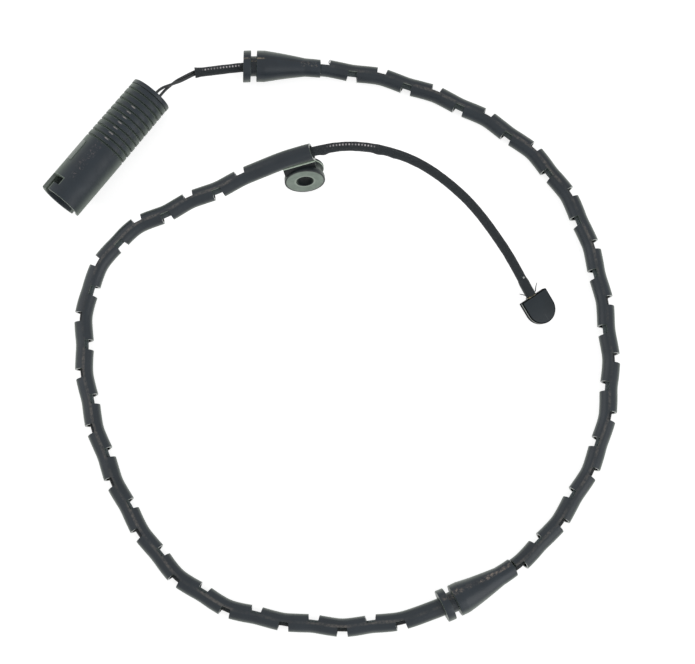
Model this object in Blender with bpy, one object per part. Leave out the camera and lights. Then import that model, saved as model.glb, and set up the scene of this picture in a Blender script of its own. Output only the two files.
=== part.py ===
import math

import bmesh
import bpy
import numpy as np
from mathutils import Matrix, Vector

for item in list(bpy.data.objects):
    bpy.data.objects.remove(item)

MM = 0.001
UP = Vector((0.0, 0.0, 1.0))

# Middle line of the sleeve from its start behind the connector to the flat edge of the tip, in metres.
# Read off the photograph at an even spacing, with heights from what lies on the floor.
ROUTE = [
    (-0.0688, 0.1369, 0.0086), (-0.0379, 0.1404, 0.0082), (-0.0067, 0.1401, 0.0064),
    (0.0241, 0.1362, 0.0046), (0.0536, 0.1265, 0.0044), (0.0813, 0.1124, 0.0044),
    (0.1055, 0.0929, 0.0044), (0.1231, 0.0672, 0.0044), (0.1332, 0.0377, 0.0044),
    (0.1382, 0.0069, 0.0044), (0.1390, -0.0242, 0.0044), (0.1329, -0.0549, 0.0044),
    (0.1188, -0.0827, 0.0044), (0.0993, -0.1070, 0.0054), (0.0738, -0.1248, 0.0080),
    (0.0454, -0.1376, 0.0078), (0.0150, -0.1434, 0.0048), (-0.0161, -0.1416, 0.0044),
    (-0.0467, -0.1351, 0.0044), (-0.0732, -0.1191, 0.0044), (-0.0928, -0.0949, 0.0044),
    (-0.1071, -0.0672, 0.0044), (-0.1172, -0.0378, 0.0044), (-0.1217, -0.0071, 0.0050),
    (-0.1193, 0.0239, 0.0068), (-0.1032, 0.0494, 0.0102), (-0.0761, 0.0635, 0.0145),
    (-0.0476, 0.0753, 0.0193), (-0.0189, 0.0864, 0.0243), (0.0115, 0.0921, 0.0251),
    (0.0415, 0.0862, 0.0210), (0.0668, 0.0691, 0.0160), (0.0861, 0.0455, 0.0108),
    (0.1009, 0.0195, 0.0069),
]

# Braided sleeve and wires.
SLEEVE_RADIUS = 2.25 * MM
SLEEVE_BORE = 1.75 * MM
SLEEVE_START_RADIUS = 2.75 * MM
SLEEVE_START_BORE = 2.25 * MM
SLEEVE_BULGE_RADIUS = 2.9 * MM
SLEEVE_SIDES = 8
WIRE_RADIUS = 0.6 * MM
WIRE_OFFSET = 0.76 * MM
WIRE_SIDES = 6

# Notched hoses.
HOSE_RADIUS = 4.35 * MM
HOSE_BORE = 3.4 * MM
HOSE_SIDES = 12
HOSE_ZIGZAG = 0.65 * MM
NOTCH_FLOOR = 0.3 * MM
NOTCH_HALF_FLOOR = 2.2 * MM
NOTCH_HALF_MOUTH = 2.7 * MM

# Grommets.
GROMMET_BORE = 2.65 * MM
GROMMET_SIDES = 24
GROMMET_FLANGE = 3.9 * MM
GROMMET_GROOVE = 2.9 * MM
GROMMET_BODY = 4.1 * MM
GROMMET_TAPER = 20.6 * MM
GROMMET_NOSE = 8.0 * MM
GROMMET_FLANGE_RADIUS = 8.1 * MM
GROMMET_GROOVE_RADIUS = 5.15 * MM
GROMMET_BODY_RADIUS = 8.0 * MM
GROMMET_NOSE_RADIUS = 4.6 * MM
COUNTERBORE_DEPTH = 3.0 * MM
FIT_GAP = 0.3 * MM
COUNTERBORE_RADIUS = HOSE_RADIUS + FIT_GAP

# What sits where along the lead: each piece starts from the end of the one before it.
UPPER_GROMMET_FACE = 24.8 * MM
GROOVE_START = GROMMET_FLANGE
GROOVE_END = GROOVE_START + GROMMET_GROOVE
TAPER_START = GROOVE_END + GROMMET_BODY
TAPER_MIDDLE = TAPER_START + GROMMET_TAPER / 2
TAPER_END = TAPER_START + GROMMET_TAPER
GROMMET_END = TAPER_END + GROMMET_NOSE
UPPER_START = UPPER_GROMMET_FACE + GROMMET_END + FIT_GAP
UPPER_NOTCH_PITCH = 14.554 * MM
UPPER_NOTCHES = [UPPER_START + 1.88 * MM + UPPER_NOTCH_PITCH * k for k in range(25)]
UPPER_END = UPPER_NOTCHES[-1] + 2.224 * MM
LOWER_GROMMET_FACE = UPPER_END + 0.5 * MM + GROMMET_END
LOWER_START = LOWER_GROMMET_FACE - COUNTERBORE_DEPTH + FIT_GAP
LOWER_NOTCH_PITCH = 14.123 * MM
LOWER_NOTCHES = [LOWER_START + 24.16 * MM + LOWER_NOTCH_PITCH * k for k in range(27)]
LOWER_END = LOWER_NOTCHES[-1] + 37.142 * MM

# Connector: its back face stays where the wires leave it, and the mouth is its length away.
CONNECTOR_BACK = Vector((-0.0903891, 0.1245176, 0.0114))
CONNECTOR_ANGLE = math.radians(51.8)
CONNECTOR_LENGTH = 72.3 * MM
CAP_LIP = 2.2 * MM
CAP_PLUG = 3.8 * MM
SHELL_LENGTH = CONNECTOR_LENGTH - CAP_LIP - FIT_GAP
BARREL_RADIUS = 11.4 * MM
SOCKET_RADIUS = 9.6 * MM
SEAT_RADIUS = 8.2 * MM
SEAT_FIT_RADIUS = SEAT_RADIUS - FIT_GAP
SOCKET_DEPTH = 31.0 * MM
RIB_PITCH = 3.5 * MM
RIB_COUNT = 10
RIB_GROOVE = 1.2 * MM
RIB_DEPTH = 0.7 * MM
RIB_RADIUS = BARREL_RADIUS - 0.1 * MM
FIRST_RIB = SHELL_LENGTH - RIB_PITCH * (RIB_COUNT - 1) - RIB_GROOVE - 1.7 * MM
KEY_LENGTH = 12.2 * MM
KEY_END = FIRST_RIB - 4.7 * MM
CARRIER_START = SOCKET_DEPTH + FIT_GAP
CARRIER_LENGTH = 12.7 * MM
CARRIER_END = CARRIER_START + CARRIER_LENGTH
CONTACT_REACH = 16.0 * MM
CRIMP_START = CARRIER_END + 0.4 * MM
CRIMP_LENGTH = 5.0 * MM
CRIMP_END = CRIMP_START + CRIMP_LENGTH
WIRE_SEAL_LENGTH = 7.7 * MM
WIRE_SEAL_END = SHELL_LENGTH - CAP_PLUG - FIT_GAP
WIRE_SEAL_START = WIRE_SEAL_END - WIRE_SEAL_LENGTH
CONNECTOR_SIDES = 24
TERMINAL_OFFSET = 2.0 * MM
EXIT_LEFT = -1.45 * MM
EXIT_RIGHT = -3.95 * MM

# Bush that hangs under the end of the lower hose.
BUSH_STATION = LOWER_END - 4.9 * MM
BUSH_AXIS = Vector((0.0972, -0.9641, 0.247)).normalized()
BUSH_FRONT_TO_HOSE = 6.8 * MM
BUSH_FLANGE_RADIUS = 10.1 * MM
BUSH_GROOVE_RADIUS = 8.6 * MM
BUSH_BORE = 4.2 * MM
BUSH_LENGTH = 8.2 * MM
BUSH_FRONT_FLANGE = 2.5 * MM
BUSH_BACK_FLANGE = 1.6 * MM
BUSH_SIDES = 28
SADDLE_NEAR = 5.1 * MM
SADDLE_FAR = 3.0 * MM
SADDLE_LENGTH = 16.3 * MM

# Tip.
TIP_EDGE = Vector((0.10135, 0.01975, 0.00681))
TIP_ANGLE = math.radians(-57.3)
TIP_DIP = math.radians(17.0)
TIP_ROLL = math.radians(11.5)
TIP_WIDTH = 14.8 * MM
TIP_LENGTH = 14.9 * MM
TIP_THICKNESS = 4.0 * MM
TUNNEL_OFFSET = -0.5 * MM
TUNNEL_WIDTH = 3.6 * MM
TUNNEL_HEIGHT = 1.8 * MM
TUNNEL_DEPTH = 10.5 * MM
COLLAR_LENGTH = 7.5 * MM
SLEEVE_TO_EDGE = 2.0 * MM
RESIN_START = -0.95 * MM
RESIN_END = -0.3 * MM
LOOP_RADIUS = 0.45 * MM
LOOP_HALF_SPAN = 0.95 * MM


def dense_route(points, steps=24):
    """Smooth curve through the route's points, as many short chords."""
    known = [Vector(p) for p in points]
    padded = [known[0] * 2 - known[1]] + known + [known[-1] * 2 - known[-2]]
    out = []
    for i in range(1, len(padded) - 2):
        a, b, c, d = padded[i - 1 : i + 3]
        for k in range(steps):
            t = k / steps
            out.append(
                0.5
                * (
                    2 * b
                    + (c - a) * t
                    + (2 * a - 5 * b + 4 * c - d) * t * t
                    + (3 * b - a - 3 * c + d) * t * t * t
                )
            )
    out.append(known[-1])
    return np.array([tuple(p) for p in out])


DENSE = dense_route(ROUTE)
LENGTHS = np.concatenate([[0.0], np.cumsum(np.linalg.norm(np.diff(DENSE, axis=0), axis=1))])
ROUTE_LENGTH = float(LENGTHS[-1])
SLEEVE_END = ROUTE_LENGTH - SLEEVE_TO_EDGE
COLLAR_END = SLEEVE_END - 0.2 * MM
COLLAR_START = COLLAR_END - COLLAR_LENGTH


def on_route(s):
    return Vector([float(np.interp(s, LENGTHS, DENSE[:, k])) for k in range(3)])


def direction(s):
    return (on_route(min(s + MM, ROUTE_LENGTH)) - on_route(max(s - MM, 0.0))).normalized()


def left_of(s):
    return UP.cross(direction(s)).normalized()


def frame_at(origin, tangent, up=UP):
    """Matrix whose X points left of travel, Y up and Z along the travel."""
    along = tangent.normalized()
    left = up.cross(along).normalized()
    top = along.cross(left)
    matrix = Matrix((left, top, along)).transposed().to_4x4()
    matrix.translation = origin
    return matrix


def frames_along(points, up=UP):
    frames = []
    for i, point in enumerate(points):
        before = (point - points[i - 1]).normalized() if i else Vector()
        after = (points[i + 1] - point).normalized() if i + 1 < len(points) else Vector()
        frames.append(frame_at(point, before + after, up))
    return frames


def circle(matrix, radius, sides):
    """Corners of a round section; the corners are set half a step off the top."""
    corners = []
    for k in range(sides):
        turn = 2 * math.pi * (k + 0.5) / sides
        corners.append(matrix @ Vector((radius * math.cos(turn), radius * math.sin(turn), 0.0)))
    return corners


def material(name, colour, roughness, metallic=0.0):
    made = bpy.data.materials.new(name)
    made.use_nodes = True
    shader = made.node_tree.nodes["Principled BSDF"]
    shader.inputs["Base Color"].default_value = (*colour, 1.0)
    shader.inputs["Roughness"].default_value = roughness
    shader.inputs["Metallic"].default_value = metallic
    return made


def face_outward(bm):
    """Turns the faces of each separate body outward."""
    bmesh.ops.recalc_face_normals(bm, faces=bm.faces)
    waiting = set(bm.faces)
    while waiting:
        body = [waiting.pop()]
        for face in body:
            for edge in face.edges:
                for other in edge.link_faces:
                    if other in waiting:
                        waiting.remove(other)
                        body.append(other)
        volume = sum(face.calc_area() * face.normal.dot(face.calc_center_median()) for face in body)
        if volume < 0:
            bmesh.ops.reverse_faces(bm, faces=body)


def add_object(name, bm, finish=None, sharp=35.0):
    face_outward(bm)
    mesh = bpy.data.meshes.new(name)
    bm.to_mesh(mesh)
    bm.free()
    for face in mesh.polygons:
        face.use_smooth = True
    mesh.set_sharp_from_angle(angle=math.radians(sharp))
    made = bpy.data.objects.new(name, mesh)
    bpy.context.collection.objects.link(made)
    if finish:
        mesh.materials.append(finish)
    return made


def loft_into(bm, rings, closed=False):
    """Skin over rings of equal corner count, by extruding the ring's edges from one to the next."""
    count = len(rings[0])
    row = bmesh.ops.create_circle(bm, cap_ends=False, radius=MM, segments=count)["verts"]
    bm.verts.ensure_lookup_table()
    ordered = [row[0]]
    while len(ordered) < count:
        here = ordered[-1]
        for edge in here.link_edges:
            other = edge.other_vert(here)
            if other not in ordered:
                ordered.append(other)
                break
    row = ordered
    for vert, place in zip(row, rings[0]):
        vert.co = place
    edges = [bm.edges.get((row[i], row[(i + 1) % count])) for i in range(count)]
    first_row, first_edges = row, edges
    targets = rings[1:] + ([rings[0]] if closed else [])
    for ring in targets:
        result = bmesh.ops.extrude_edge_only(bm, edges=edges)
        fresh = {g for g in result["geom"] if isinstance(g, bmesh.types.BMVert)}
        new_row = []
        for vert in row:
            for edge in vert.link_edges:
                other = edge.other_vert(vert)
                if other in fresh:
                    new_row.append(other)
                    break
        for vert, place in zip(new_row, ring):
            vert.co = place
        row = new_row
        edges = [bm.edges.get((row[i], row[(i + 1) % count])) for i in range(count)]
    if closed:
        bmesh.ops.remove_doubles(bm, verts=first_row + row, dist=1e-6)
    else:
        bmesh.ops.contextual_create(bm, geom=first_edges)
        bmesh.ops.contextual_create(bm, geom=edges)


def loft(name, rings, finish=None, closed=False, sharp=35.0):
    bm = bmesh.new()
    loft_into(bm, rings, closed)
    return add_object(name, bm, finish, sharp)


def solid_along(name, points, radius, sides, finish, up=UP):
    return loft(name, [circle(f, radius, sides) for f in frames_along(points, up)], finish)


def tube_along(name, points, outer, inner, sides, finish):
    """Hollow tube: outer skin out, inner skin back."""
    frames = frames_along(points)
    rings = [circle(f, r, sides) for f, r in zip(frames, outer)]
    rings += [circle(f, r, sides) for f, r in zip(reversed(frames), reversed(inner))]
    return loft(name, rings, finish, closed=True)


def as_cutter(made):
    made.hide_render = True
    made.display_type = "WIRE"
    return made


def boolean(target, cutter, operation):
    change = target.modifiers.new(cutter.name, "BOOLEAN")
    change.operation = operation
    change.solver = "EXACT"
    change.object = cutter


def box_into(bm, matrix, low, high):
    """A box between two corners given in the matrix's own axes."""
    verts = bmesh.ops.create_cube(bm, size=1.0)["verts"]
    for vert in verts:
        local = Vector([low[k] if vert.co[k] < 0 else high[k] for k in range(3)])
        vert.co = matrix @ local


BLACK_RUBBER = (0.028, 0.030, 0.032)
finish_shell = material("connector_shell", (0.022, 0.024, 0.026), 0.45)
finish_carrier = material("contact_carrier", (0.020, 0.021, 0.022), 0.5)
finish_mating = material("mating_seal", (0.10, 0.04, 0.03), 0.6)
finish_wire_seal = material("wire_seal", (0.12, 0.05, 0.03), 0.65)
finish_cap = material("rear_cap", (0.024, 0.026, 0.028), 0.45)
finish_terminal_left = material("terminal_left", (0.80, 0.62, 0.28), 0.3, 1.0)
finish_terminal_right = material("terminal_right", (0.78, 0.60, 0.27), 0.3, 1.0)
finish_wire_left = material("wire_left", (0.012, 0.012, 0.013), 0.4)
finish_wire_right = material("wire_right", (0.014, 0.014, 0.015), 0.4)
finish_sleeve = material("braided_sleeve", (0.018, 0.019, 0.020), 0.75)
finish_grommet_upper = material("grommet_upper", BLACK_RUBBER, 0.5)
finish_grommet_lower = material("grommet_lower", BLACK_RUBBER, 0.5)
finish_conduit_upper = material("conduit_upper", (0.030, 0.032, 0.034), 0.5)
finish_conduit_lower = material("conduit_lower", (0.030, 0.032, 0.034), 0.5)
finish_bush = material("mounting_bush", (0.032, 0.034, 0.035), 0.55)
finish_collar = material("end_collar", (0.016, 0.017, 0.018), 0.55)
finish_tip = material("sensor_tip", (0.020, 0.022, 0.023), 0.5)
finish_loop = material("wear_loop", (0.72, 0.40, 0.25), 0.35, 1.0)
finish_resin = material("tip_resin", (0.42, 0.33, 0.16), 0.5)

# Connector.
CONNECTOR_AXIS = Vector((math.cos(CONNECTOR_ANGLE), math.sin(CONNECTOR_ANGLE), 0.0))
CONNECTOR = frame_at(CONNECTOR_BACK - CONNECTOR_AXIS * CONNECTOR_LENGTH, CONNECTOR_AXIS)


def in_connector(a, left=0.0, height=0.0):
    return CONNECTOR @ Vector((left, height, a))


def connector_rings(profile, sides=CONNECTOR_SIDES, left=0.0):
    return [circle(frame_at(in_connector(a, left), CONNECTOR_AXIS), r, sides) for a, r in profile]


def sector_rings(steps, low_radius, high_radius):
    """Four-cornered sections that turn about the connector's axis; each step is a turn from the top and two stations."""
    rings = []
    for turn, a0, a1 in steps:
        angle = math.radians(turn)
        rings.append(
            [
                in_connector(a, r * math.sin(angle), r * math.cos(angle))
                for a, r in ((a0, low_radius), (a1, low_radius), (a1, high_radius), (a0, high_radius))
            ]
        )
    return rings


shell_profile = [(0.0, BARREL_RADIUS - 0.3 * MM), (0.3 * MM, BARREL_RADIUS)]
for k in range(RIB_COUNT):
    start = FIRST_RIB + RIB_PITCH * k
    radius = RIB_RADIUS - 0.03 * MM * k
    before = BARREL_RADIUS if k == 0 else radius
    shell_profile += [
        (start, before),
        (start + 0.15 * MM, radius - RIB_DEPTH),
        (start + RIB_GROOVE - 0.15 * MM, radius - RIB_DEPTH),
        (start + RIB_GROOVE, radius),
    ]
shell_profile += [
    (SHELL_LENGTH, RIB_RADIUS - 0.3 * MM),
    (SHELL_LENGTH, SEAT_RADIUS),
    (SOCKET_DEPTH, SEAT_RADIUS),
    (SOCKET_DEPTH, SOCKET_RADIUS),
    (0.5 * MM, SOCKET_RADIUS),
    (0.0, SOCKET_RADIUS + 0.3 * MM),
]
shell = loft("connector_shell", connector_rings(shell_profile), finish_shell, closed=True)
raised = bmesh.new()
loft_into(
    raised,
    sector_rings(
        [(t, KEY_END - KEY_LENGTH, KEY_END) for t in (38.0, 48.0, 58.0)], BARREL_RADIUS - 0.7 * MM, BARREL_RADIUS + 0.5 * MM
    ),
)
loft_into(
    raised,
    sector_rings([(t, 0.6 * MM, 2.6 * MM) for t in (126.0, 134.0)], BARREL_RADIUS - 0.7 * MM, BARREL_RADIUS + 0.4 * MM),
)
boolean(shell, as_cutter(add_object("raised_guides", raised)), "UNION")
slots = bmesh.new()
for half_turn in (0.0, 180.0):
    steps = [(t, 4.5 * MM, 8.7 * MM) for t in (15.0, 23.0, 32.0)]
    steps += [(t, -1.0 * MM, 8.7 * MM) for t in (32.0, 42.0, 52.0, 62.0, 72.0)]
    turned = [(t + half_turn, a, b) for t, a, b in steps]
    loft_into(slots, sector_rings(turned, SOCKET_RADIUS - 1.0 * MM, BARREL_RADIUS + 1.6 * MM))
boolean(shell, as_cutter(add_object("slot_guides", slots)), "DIFFERENCE")

carrier_profile = [(CARRIER_START, SEAT_FIT_RADIUS), (CARRIER_END, SEAT_FIT_RADIUS)]
carrier = loft("contact_carrier", connector_rings(carrier_profile), finish_carrier)
pin_holes = bmesh.new()
for side in (-TERMINAL_OFFSET, TERMINAL_OFFSET):
    through = [(CARRIER_START - 1.3 * MM, 1.15 * MM), (CARRIER_END + 2.0 * MM, 1.15 * MM)]
    loft_into(pin_holes, connector_rings(through, 10, side))
boolean(carrier, as_cutter(add_object("pin_hole_guides", pin_holes)), "DIFFERENCE")

MATING_SEAL_END = SOCKET_DEPTH - FIT_GAP
MATING_SEAL_START = MATING_SEAL_END - 2.5 * MM
MATING_SEAL_RADIUS = SOCKET_RADIUS - 0.35 * MM
seal_profile = [
    (MATING_SEAL_START, SEAT_RADIUS - 1.8 * MM),
    (MATING_SEAL_START, MATING_SEAL_RADIUS - 0.65 * MM),
    (MATING_SEAL_START + 1.1 * MM, MATING_SEAL_RADIUS),
    (MATING_SEAL_END, MATING_SEAL_RADIUS),
    (MATING_SEAL_END, SEAT_RADIUS - 1.8 * MM),
]
loft("mating_seal", connector_rings(seal_profile), finish_mating, closed=True)

wire_seal = loft(
    "wire_seal",
    connector_rings(
        [
            (WIRE_SEAL_START, SEAT_FIT_RADIUS - 0.5 * MM),
            (WIRE_SEAL_START + 0.6 * MM, SEAT_FIT_RADIUS),
            (WIRE_SEAL_END - 0.6 * MM, SEAT_FIT_RADIUS),
            (WIRE_SEAL_END, SEAT_FIT_RADIUS - 0.5 * MM),
        ]
    ),
    finish_wire_seal,
)
seal_holes = bmesh.new()
for side in (EXIT_LEFT, EXIT_RIGHT):
    through = [(WIRE_SEAL_START - 1.0 * MM, 0.95 * MM), (WIRE_SEAL_END + 1.3 * MM, 0.95 * MM)]
    loft_into(seal_holes, connector_rings(through, 8, side))
boolean(wire_seal, as_cutter(add_object("seal_hole_guides", seal_holes)), "DIFFERENCE")

cap = loft(
    "rear_cap",
    connector_rings(
        [
            (SHELL_LENGTH - CAP_PLUG, SEAT_FIT_RADIUS),
            (SHELL_LENGTH + FIT_GAP, SEAT_FIT_RADIUS),
            (SHELL_LENGTH + FIT_GAP, RIB_RADIUS - 0.1 * MM),
            (CONNECTOR_LENGTH - 0.4 * MM, RIB_RADIUS - 0.1 * MM),
            (CONNECTOR_LENGTH, RIB_RADIUS - 0.5 * MM),
        ]
    ),
    finish_cap,
)
cap_hole = loft(
    "cap_hole_guide",
    connector_rings(
        [(SHELL_LENGTH - CAP_PLUG - 1.0 * MM, 2.5 * MM), (CONNECTOR_LENGTH + 1.7 * MM, 2.5 * MM)],
        16,
        (EXIT_LEFT + EXIT_RIGHT) / 2,
    ),
)
boolean(cap, as_cutter(cap_hole), "DIFFERENCE")

TERMINALS = (
    ("terminal_left", TERMINAL_OFFSET, finish_terminal_left),
    ("terminal_right", -TERMINAL_OFFSET, finish_terminal_right),
)
for name, side, finish in TERMINALS:
    loft(
        name,
        connector_rings(
            [
                (SOCKET_DEPTH - CONTACT_REACH, 0.35 * MM),
                (SOCKET_DEPTH - CONTACT_REACH + 0.7 * MM, 0.8 * MM),
                (CRIMP_START, 0.8 * MM),
                (CRIMP_START, 1.45 * MM),
                (CRIMP_END, 1.45 * MM),
                (CRIMP_END, 1.0 * MM),
                (CRIMP_START + 0.8 * MM, 1.0 * MM),
            ],
            10,
            side,
        ),
        finish,
    )

# Sleeve stations follow the hoses' own corners, so both bend at the same places.
hose_upper_stations = [UPPER_START] + UPPER_NOTCHES + [UPPER_END]
hose_lower_stations = [LOWER_START, LOWER_START + 12.1 * MM] + LOWER_NOTCHES
hose_lower_stations += [LOWER_NOTCHES[-1] + LOWER_NOTCH_PITCH, LOWER_END - 11.5 * MM, LOWER_END]
TAPER_STOPS = [TAPER_START, TAPER_MIDDLE, TAPER_END]
BULGE = LOWER_END + 2.2 * MM
bare_start = BULGE + 2.8 * MM
sleeve_stations = [0.0, 3.0 * MM, 13.0 * MM, UPPER_GROMMET_FACE]
sleeve_stations += [UPPER_GROMMET_FACE + d for d in TAPER_STOPS]
sleeve_stations += UPPER_NOTCHES
sleeve_stations += [LOWER_GROMMET_FACE - d for d in reversed(TAPER_STOPS)] + [LOWER_GROMMET_FACE - 1.0 * MM]
sleeve_stations += hose_lower_stations[1:]
sleeve_stations += [BULGE] + [bare_start + (COLLAR_START - bare_start) * k / 11 for k in range(12)]
sleeve_stations += [SLEEVE_END]
sleeve_outer = []
sleeve_inner = []
for s in sleeve_stations:
    outer = SLEEVE_RADIUS
    if s == 0.0:
        outer = SLEEVE_START_RADIUS
    if s == BULGE:
        outer = SLEEVE_BULGE_RADIUS
    sleeve_outer.append(outer)
    sleeve_inner.append(SLEEVE_START_BORE if s == 0.0 else SLEEVE_BORE)
tube_along(
    "braided_sleeve",
    [on_route(s) for s in sleeve_stations],
    sleeve_outer,
    sleeve_inner,
    SLEEVE_SIDES,
    finish_sleeve,
)

# Tip: X along its own axis, Y across to the right-hand edge of the picture, Z out of its top face.
tip_level = Vector((-math.sin(TIP_ANGLE), math.cos(TIP_ANGLE), 0.0))
tip_along = Vector((math.cos(TIP_ANGLE), math.sin(TIP_ANGLE), 0.0)) * math.cos(TIP_DIP) - UP * math.sin(TIP_DIP)
tip_top = tip_along.cross(tip_level)
tip_across = tip_level * math.cos(TIP_ROLL) - tip_top * math.sin(TIP_ROLL)
tip_out = tip_level * math.sin(TIP_ROLL) + tip_top * math.cos(TIP_ROLL)
TIP = Matrix((tip_along, tip_across, tip_out)).transposed().to_4x4()
TIP.translation = TIP_EDGE


def in_tip(along, across, out=0.0):
    return TIP @ Vector((along, TUNNEL_OFFSET + across, out))


# Wires: from the terminals through the seal, crossed behind the connector, then side by side in the sleeve.
before_sleeve = {
    "wire_left": [
        in_connector(CRIMP_START + 1.2 * MM, TERMINAL_OFFSET),
        in_connector(CRIMP_END + 0.8 * MM, TERMINAL_OFFSET),
        in_connector((CRIMP_END + WIRE_SEAL_START) / 2, 0.5 * MM),
        in_connector(WIRE_SEAL_START - 0.6 * MM, EXIT_LEFT),
        in_connector(WIRE_SEAL_END + 0.3 * MM, EXIT_LEFT),
        in_connector(CONNECTOR_LENGTH + 2.0 * MM, EXIT_LEFT, 0.1 * MM),
        Vector((-0.0849, 0.1276, 0.0119)),
        Vector((-0.0817, 0.1289, 0.0120)),
        Vector((-0.0786, 0.1304, 0.0112)),
        Vector((-0.0756, 0.1319, 0.0103)),
    ],
    "wire_right": [
        in_connector(CRIMP_START + 1.2 * MM, -TERMINAL_OFFSET),
        in_connector(CRIMP_END + 0.8 * MM, -TERMINAL_OFFSET),
        in_connector((CRIMP_END + WIRE_SEAL_START) / 2, -3.0 * MM),
        in_connector(WIRE_SEAL_START - 0.6 * MM, EXIT_RIGHT),
        in_connector(WIRE_SEAL_END + 0.3 * MM, EXIT_RIGHT),
        in_connector(CONNECTOR_LENGTH + 2.0 * MM, EXIT_RIGHT, -0.1 * MM),
        Vector((-0.0839, 0.1266, 0.0106)),
        Vector((-0.0817, 0.1289, 0.0102)),
        Vector((-0.0790, 0.1313, 0.0101)),
        Vector((-0.0764, 0.1332, 0.0098)),
    ],
}
for name, side, finish in (("wire_left", -1.0, finish_wire_left), ("wire_right", 1.0, finish_wire_right)):
    points = list(before_sleeve[name])
    points += [on_route(s) + left_of(s) * (side * WIRE_OFFSET) for s in sleeve_stations[:-1]]
    points += [in_tip(-1.6 * MM, side * 0.8 * MM), in_tip(2.6 * MM, side * 0.85 * MM)]
    solid_along(name, points, WIRE_RADIUS, WIRE_SIDES, finish)

# Grommets, the lower one turned to face the other way: distance from the flange face and radius.
GROMMET_PROFILE = [
    (0.0, GROMMET_FLANGE_RADIUS),
    (GROOVE_START, GROMMET_FLANGE_RADIUS),
    (GROOVE_START, GROMMET_GROOVE_RADIUS),
    (GROOVE_END, GROMMET_GROOVE_RADIUS),
    (GROOVE_END, GROMMET_BODY_RADIUS),
    (TAPER_START, GROMMET_BODY_RADIUS),
    (TAPER_MIDDLE, (GROMMET_BODY_RADIUS + GROMMET_NOSE_RADIUS) / 2),
    (TAPER_END, GROMMET_NOSE_RADIUS),
    (GROMMET_END, GROMMET_NOSE_RADIUS),
]
BORE_STOPS = [GROMMET_END, TAPER_END, TAPER_MIDDLE, TAPER_START]


def grommet_ring(s, radius):
    return circle(frame_at(on_route(s), direction(s)), radius, GROMMET_SIDES)


upper_rings = [grommet_ring(UPPER_GROMMET_FACE + d, r) for d, r in GROMMET_PROFILE]
upper_rings += [grommet_ring(UPPER_GROMMET_FACE + d, GROMMET_BORE) for d in BORE_STOPS + [0.0]]
loft("grommet_upper", upper_rings, finish_grommet_upper, closed=True)

lower_rings = [grommet_ring(LOWER_GROMMET_FACE - d, r) for d, r in GROMMET_PROFILE]
lower_rings += [grommet_ring(LOWER_GROMMET_FACE - d, GROMMET_BORE) for d in BORE_STOPS + [COUNTERBORE_DEPTH]]
lower_rings += [grommet_ring(LOWER_GROMMET_FACE - d, COUNTERBORE_RADIUS) for d in (COUNTERBORE_DEPTH, 0.0)]
loft("grommet_lower", lower_rings, finish_grommet_lower, closed=True)


def zigzag(s, notches):
    """Offset of a hose's middle to the left at a station: out to each notch in turn, none beyond the last ones."""
    sides = [HOSE_ZIGZAG * (1.0 if k % 2 == 0 else -1.0) for k in range(len(notches))]
    reach = notches[1] - notches[0]
    return float(np.interp(s, [notches[0] - reach] + notches + [notches[-1] + reach], [0.0] + sides + [0.0]))


def hose_point(s, notches):
    return on_route(s) + left_of(s) * zigzag(s, notches)


def notched_hose(name, stations, notches, finish):
    made = tube_along(
        name,
        [hose_point(s, notches) for s in stations],
        [HOSE_RADIUS] * len(stations),
        [HOSE_BORE] * len(stations),
        HOSE_SIDES,
        finish,
    )
    cuts = bmesh.new()
    for k, s in enumerate(notches):
        side = 1.0 if k % 2 == 0 else -1.0
        place = frame_at(hose_point(s, notches), direction(s))
        before = 2.0 * MM if s - stations[0] < 4.0 * MM else 0.0
        after = 2.0 * MM if stations[-1] - s < 4.0 * MM else 0.0
        slope = (NOTCH_HALF_MOUTH - NOTCH_HALF_FLOOR) / (HOSE_RADIUS - NOTCH_FLOOR)
        for vert in bmesh.ops.create_cube(cuts, size=1.0)["verts"]:
            out = NOTCH_FLOOR if vert.co.x < 0 else HOSE_RADIUS + 2.0 * MM
            half = NOTCH_HALF_FLOOR + slope * (out - NOTCH_FLOOR)
            along = -half - before if vert.co.z < 0 else half + after
            vert.co = place @ Vector((side * out, vert.co.y * 14.0 * MM, along))
    boolean(made, as_cutter(add_object(name + "_notches", cuts)), "DIFFERENCE")
    return made


notched_hose("conduit_upper", hose_upper_stations, UPPER_NOTCHES, finish_conduit_upper)
notched_hose("conduit_lower", hose_lower_stations, LOWER_NOTCHES, finish_conduit_lower)

# Bush: spool with a hole, joined to a saddle that follows the underside of the hose.
hose_axis = direction(BUSH_STATION)
bush_up = Vector((-0.0240, 0.247, 0.969))
bush_up = (bush_up - BUSH_AXIS * bush_up.dot(BUSH_AXIS)).normalized()
hang = BUSH_FLANGE_RADIUS + HOSE_RADIUS + FIT_GAP
bush_middle = on_route(BUSH_STATION) - bush_up * hang
bush_front = bush_middle + BUSH_AXIS * BUSH_FRONT_TO_HOSE
bush_profile = [
    (0.0, BUSH_FLANGE_RADIUS - 0.3 * MM),
    (0.3 * MM, BUSH_FLANGE_RADIUS),
    (BUSH_FRONT_FLANGE, BUSH_FLANGE_RADIUS),
    (BUSH_FRONT_FLANGE, BUSH_GROOVE_RADIUS),
    (BUSH_LENGTH - BUSH_BACK_FLANGE, BUSH_GROOVE_RADIUS),
    (BUSH_LENGTH - BUSH_BACK_FLANGE, BUSH_FLANGE_RADIUS),
    (BUSH_LENGTH, BUSH_FLANGE_RADIUS),
    (BUSH_LENGTH, BUSH_BORE + 0.4 * MM),
    (BUSH_LENGTH - 0.4 * MM, BUSH_BORE),
    (0.4 * MM, BUSH_BORE),
    (0.0, BUSH_BORE + 0.4 * MM),
]
bush_rings = [
    circle(frame_at(bush_front - BUSH_AXIS * d, -BUSH_AXIS, bush_up), r, BUSH_SIDES) for d, r in bush_profile
]
bush = loft("mounting_bush", bush_rings, finish_bush, closed=True)
saddle = bmesh.new()
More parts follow.
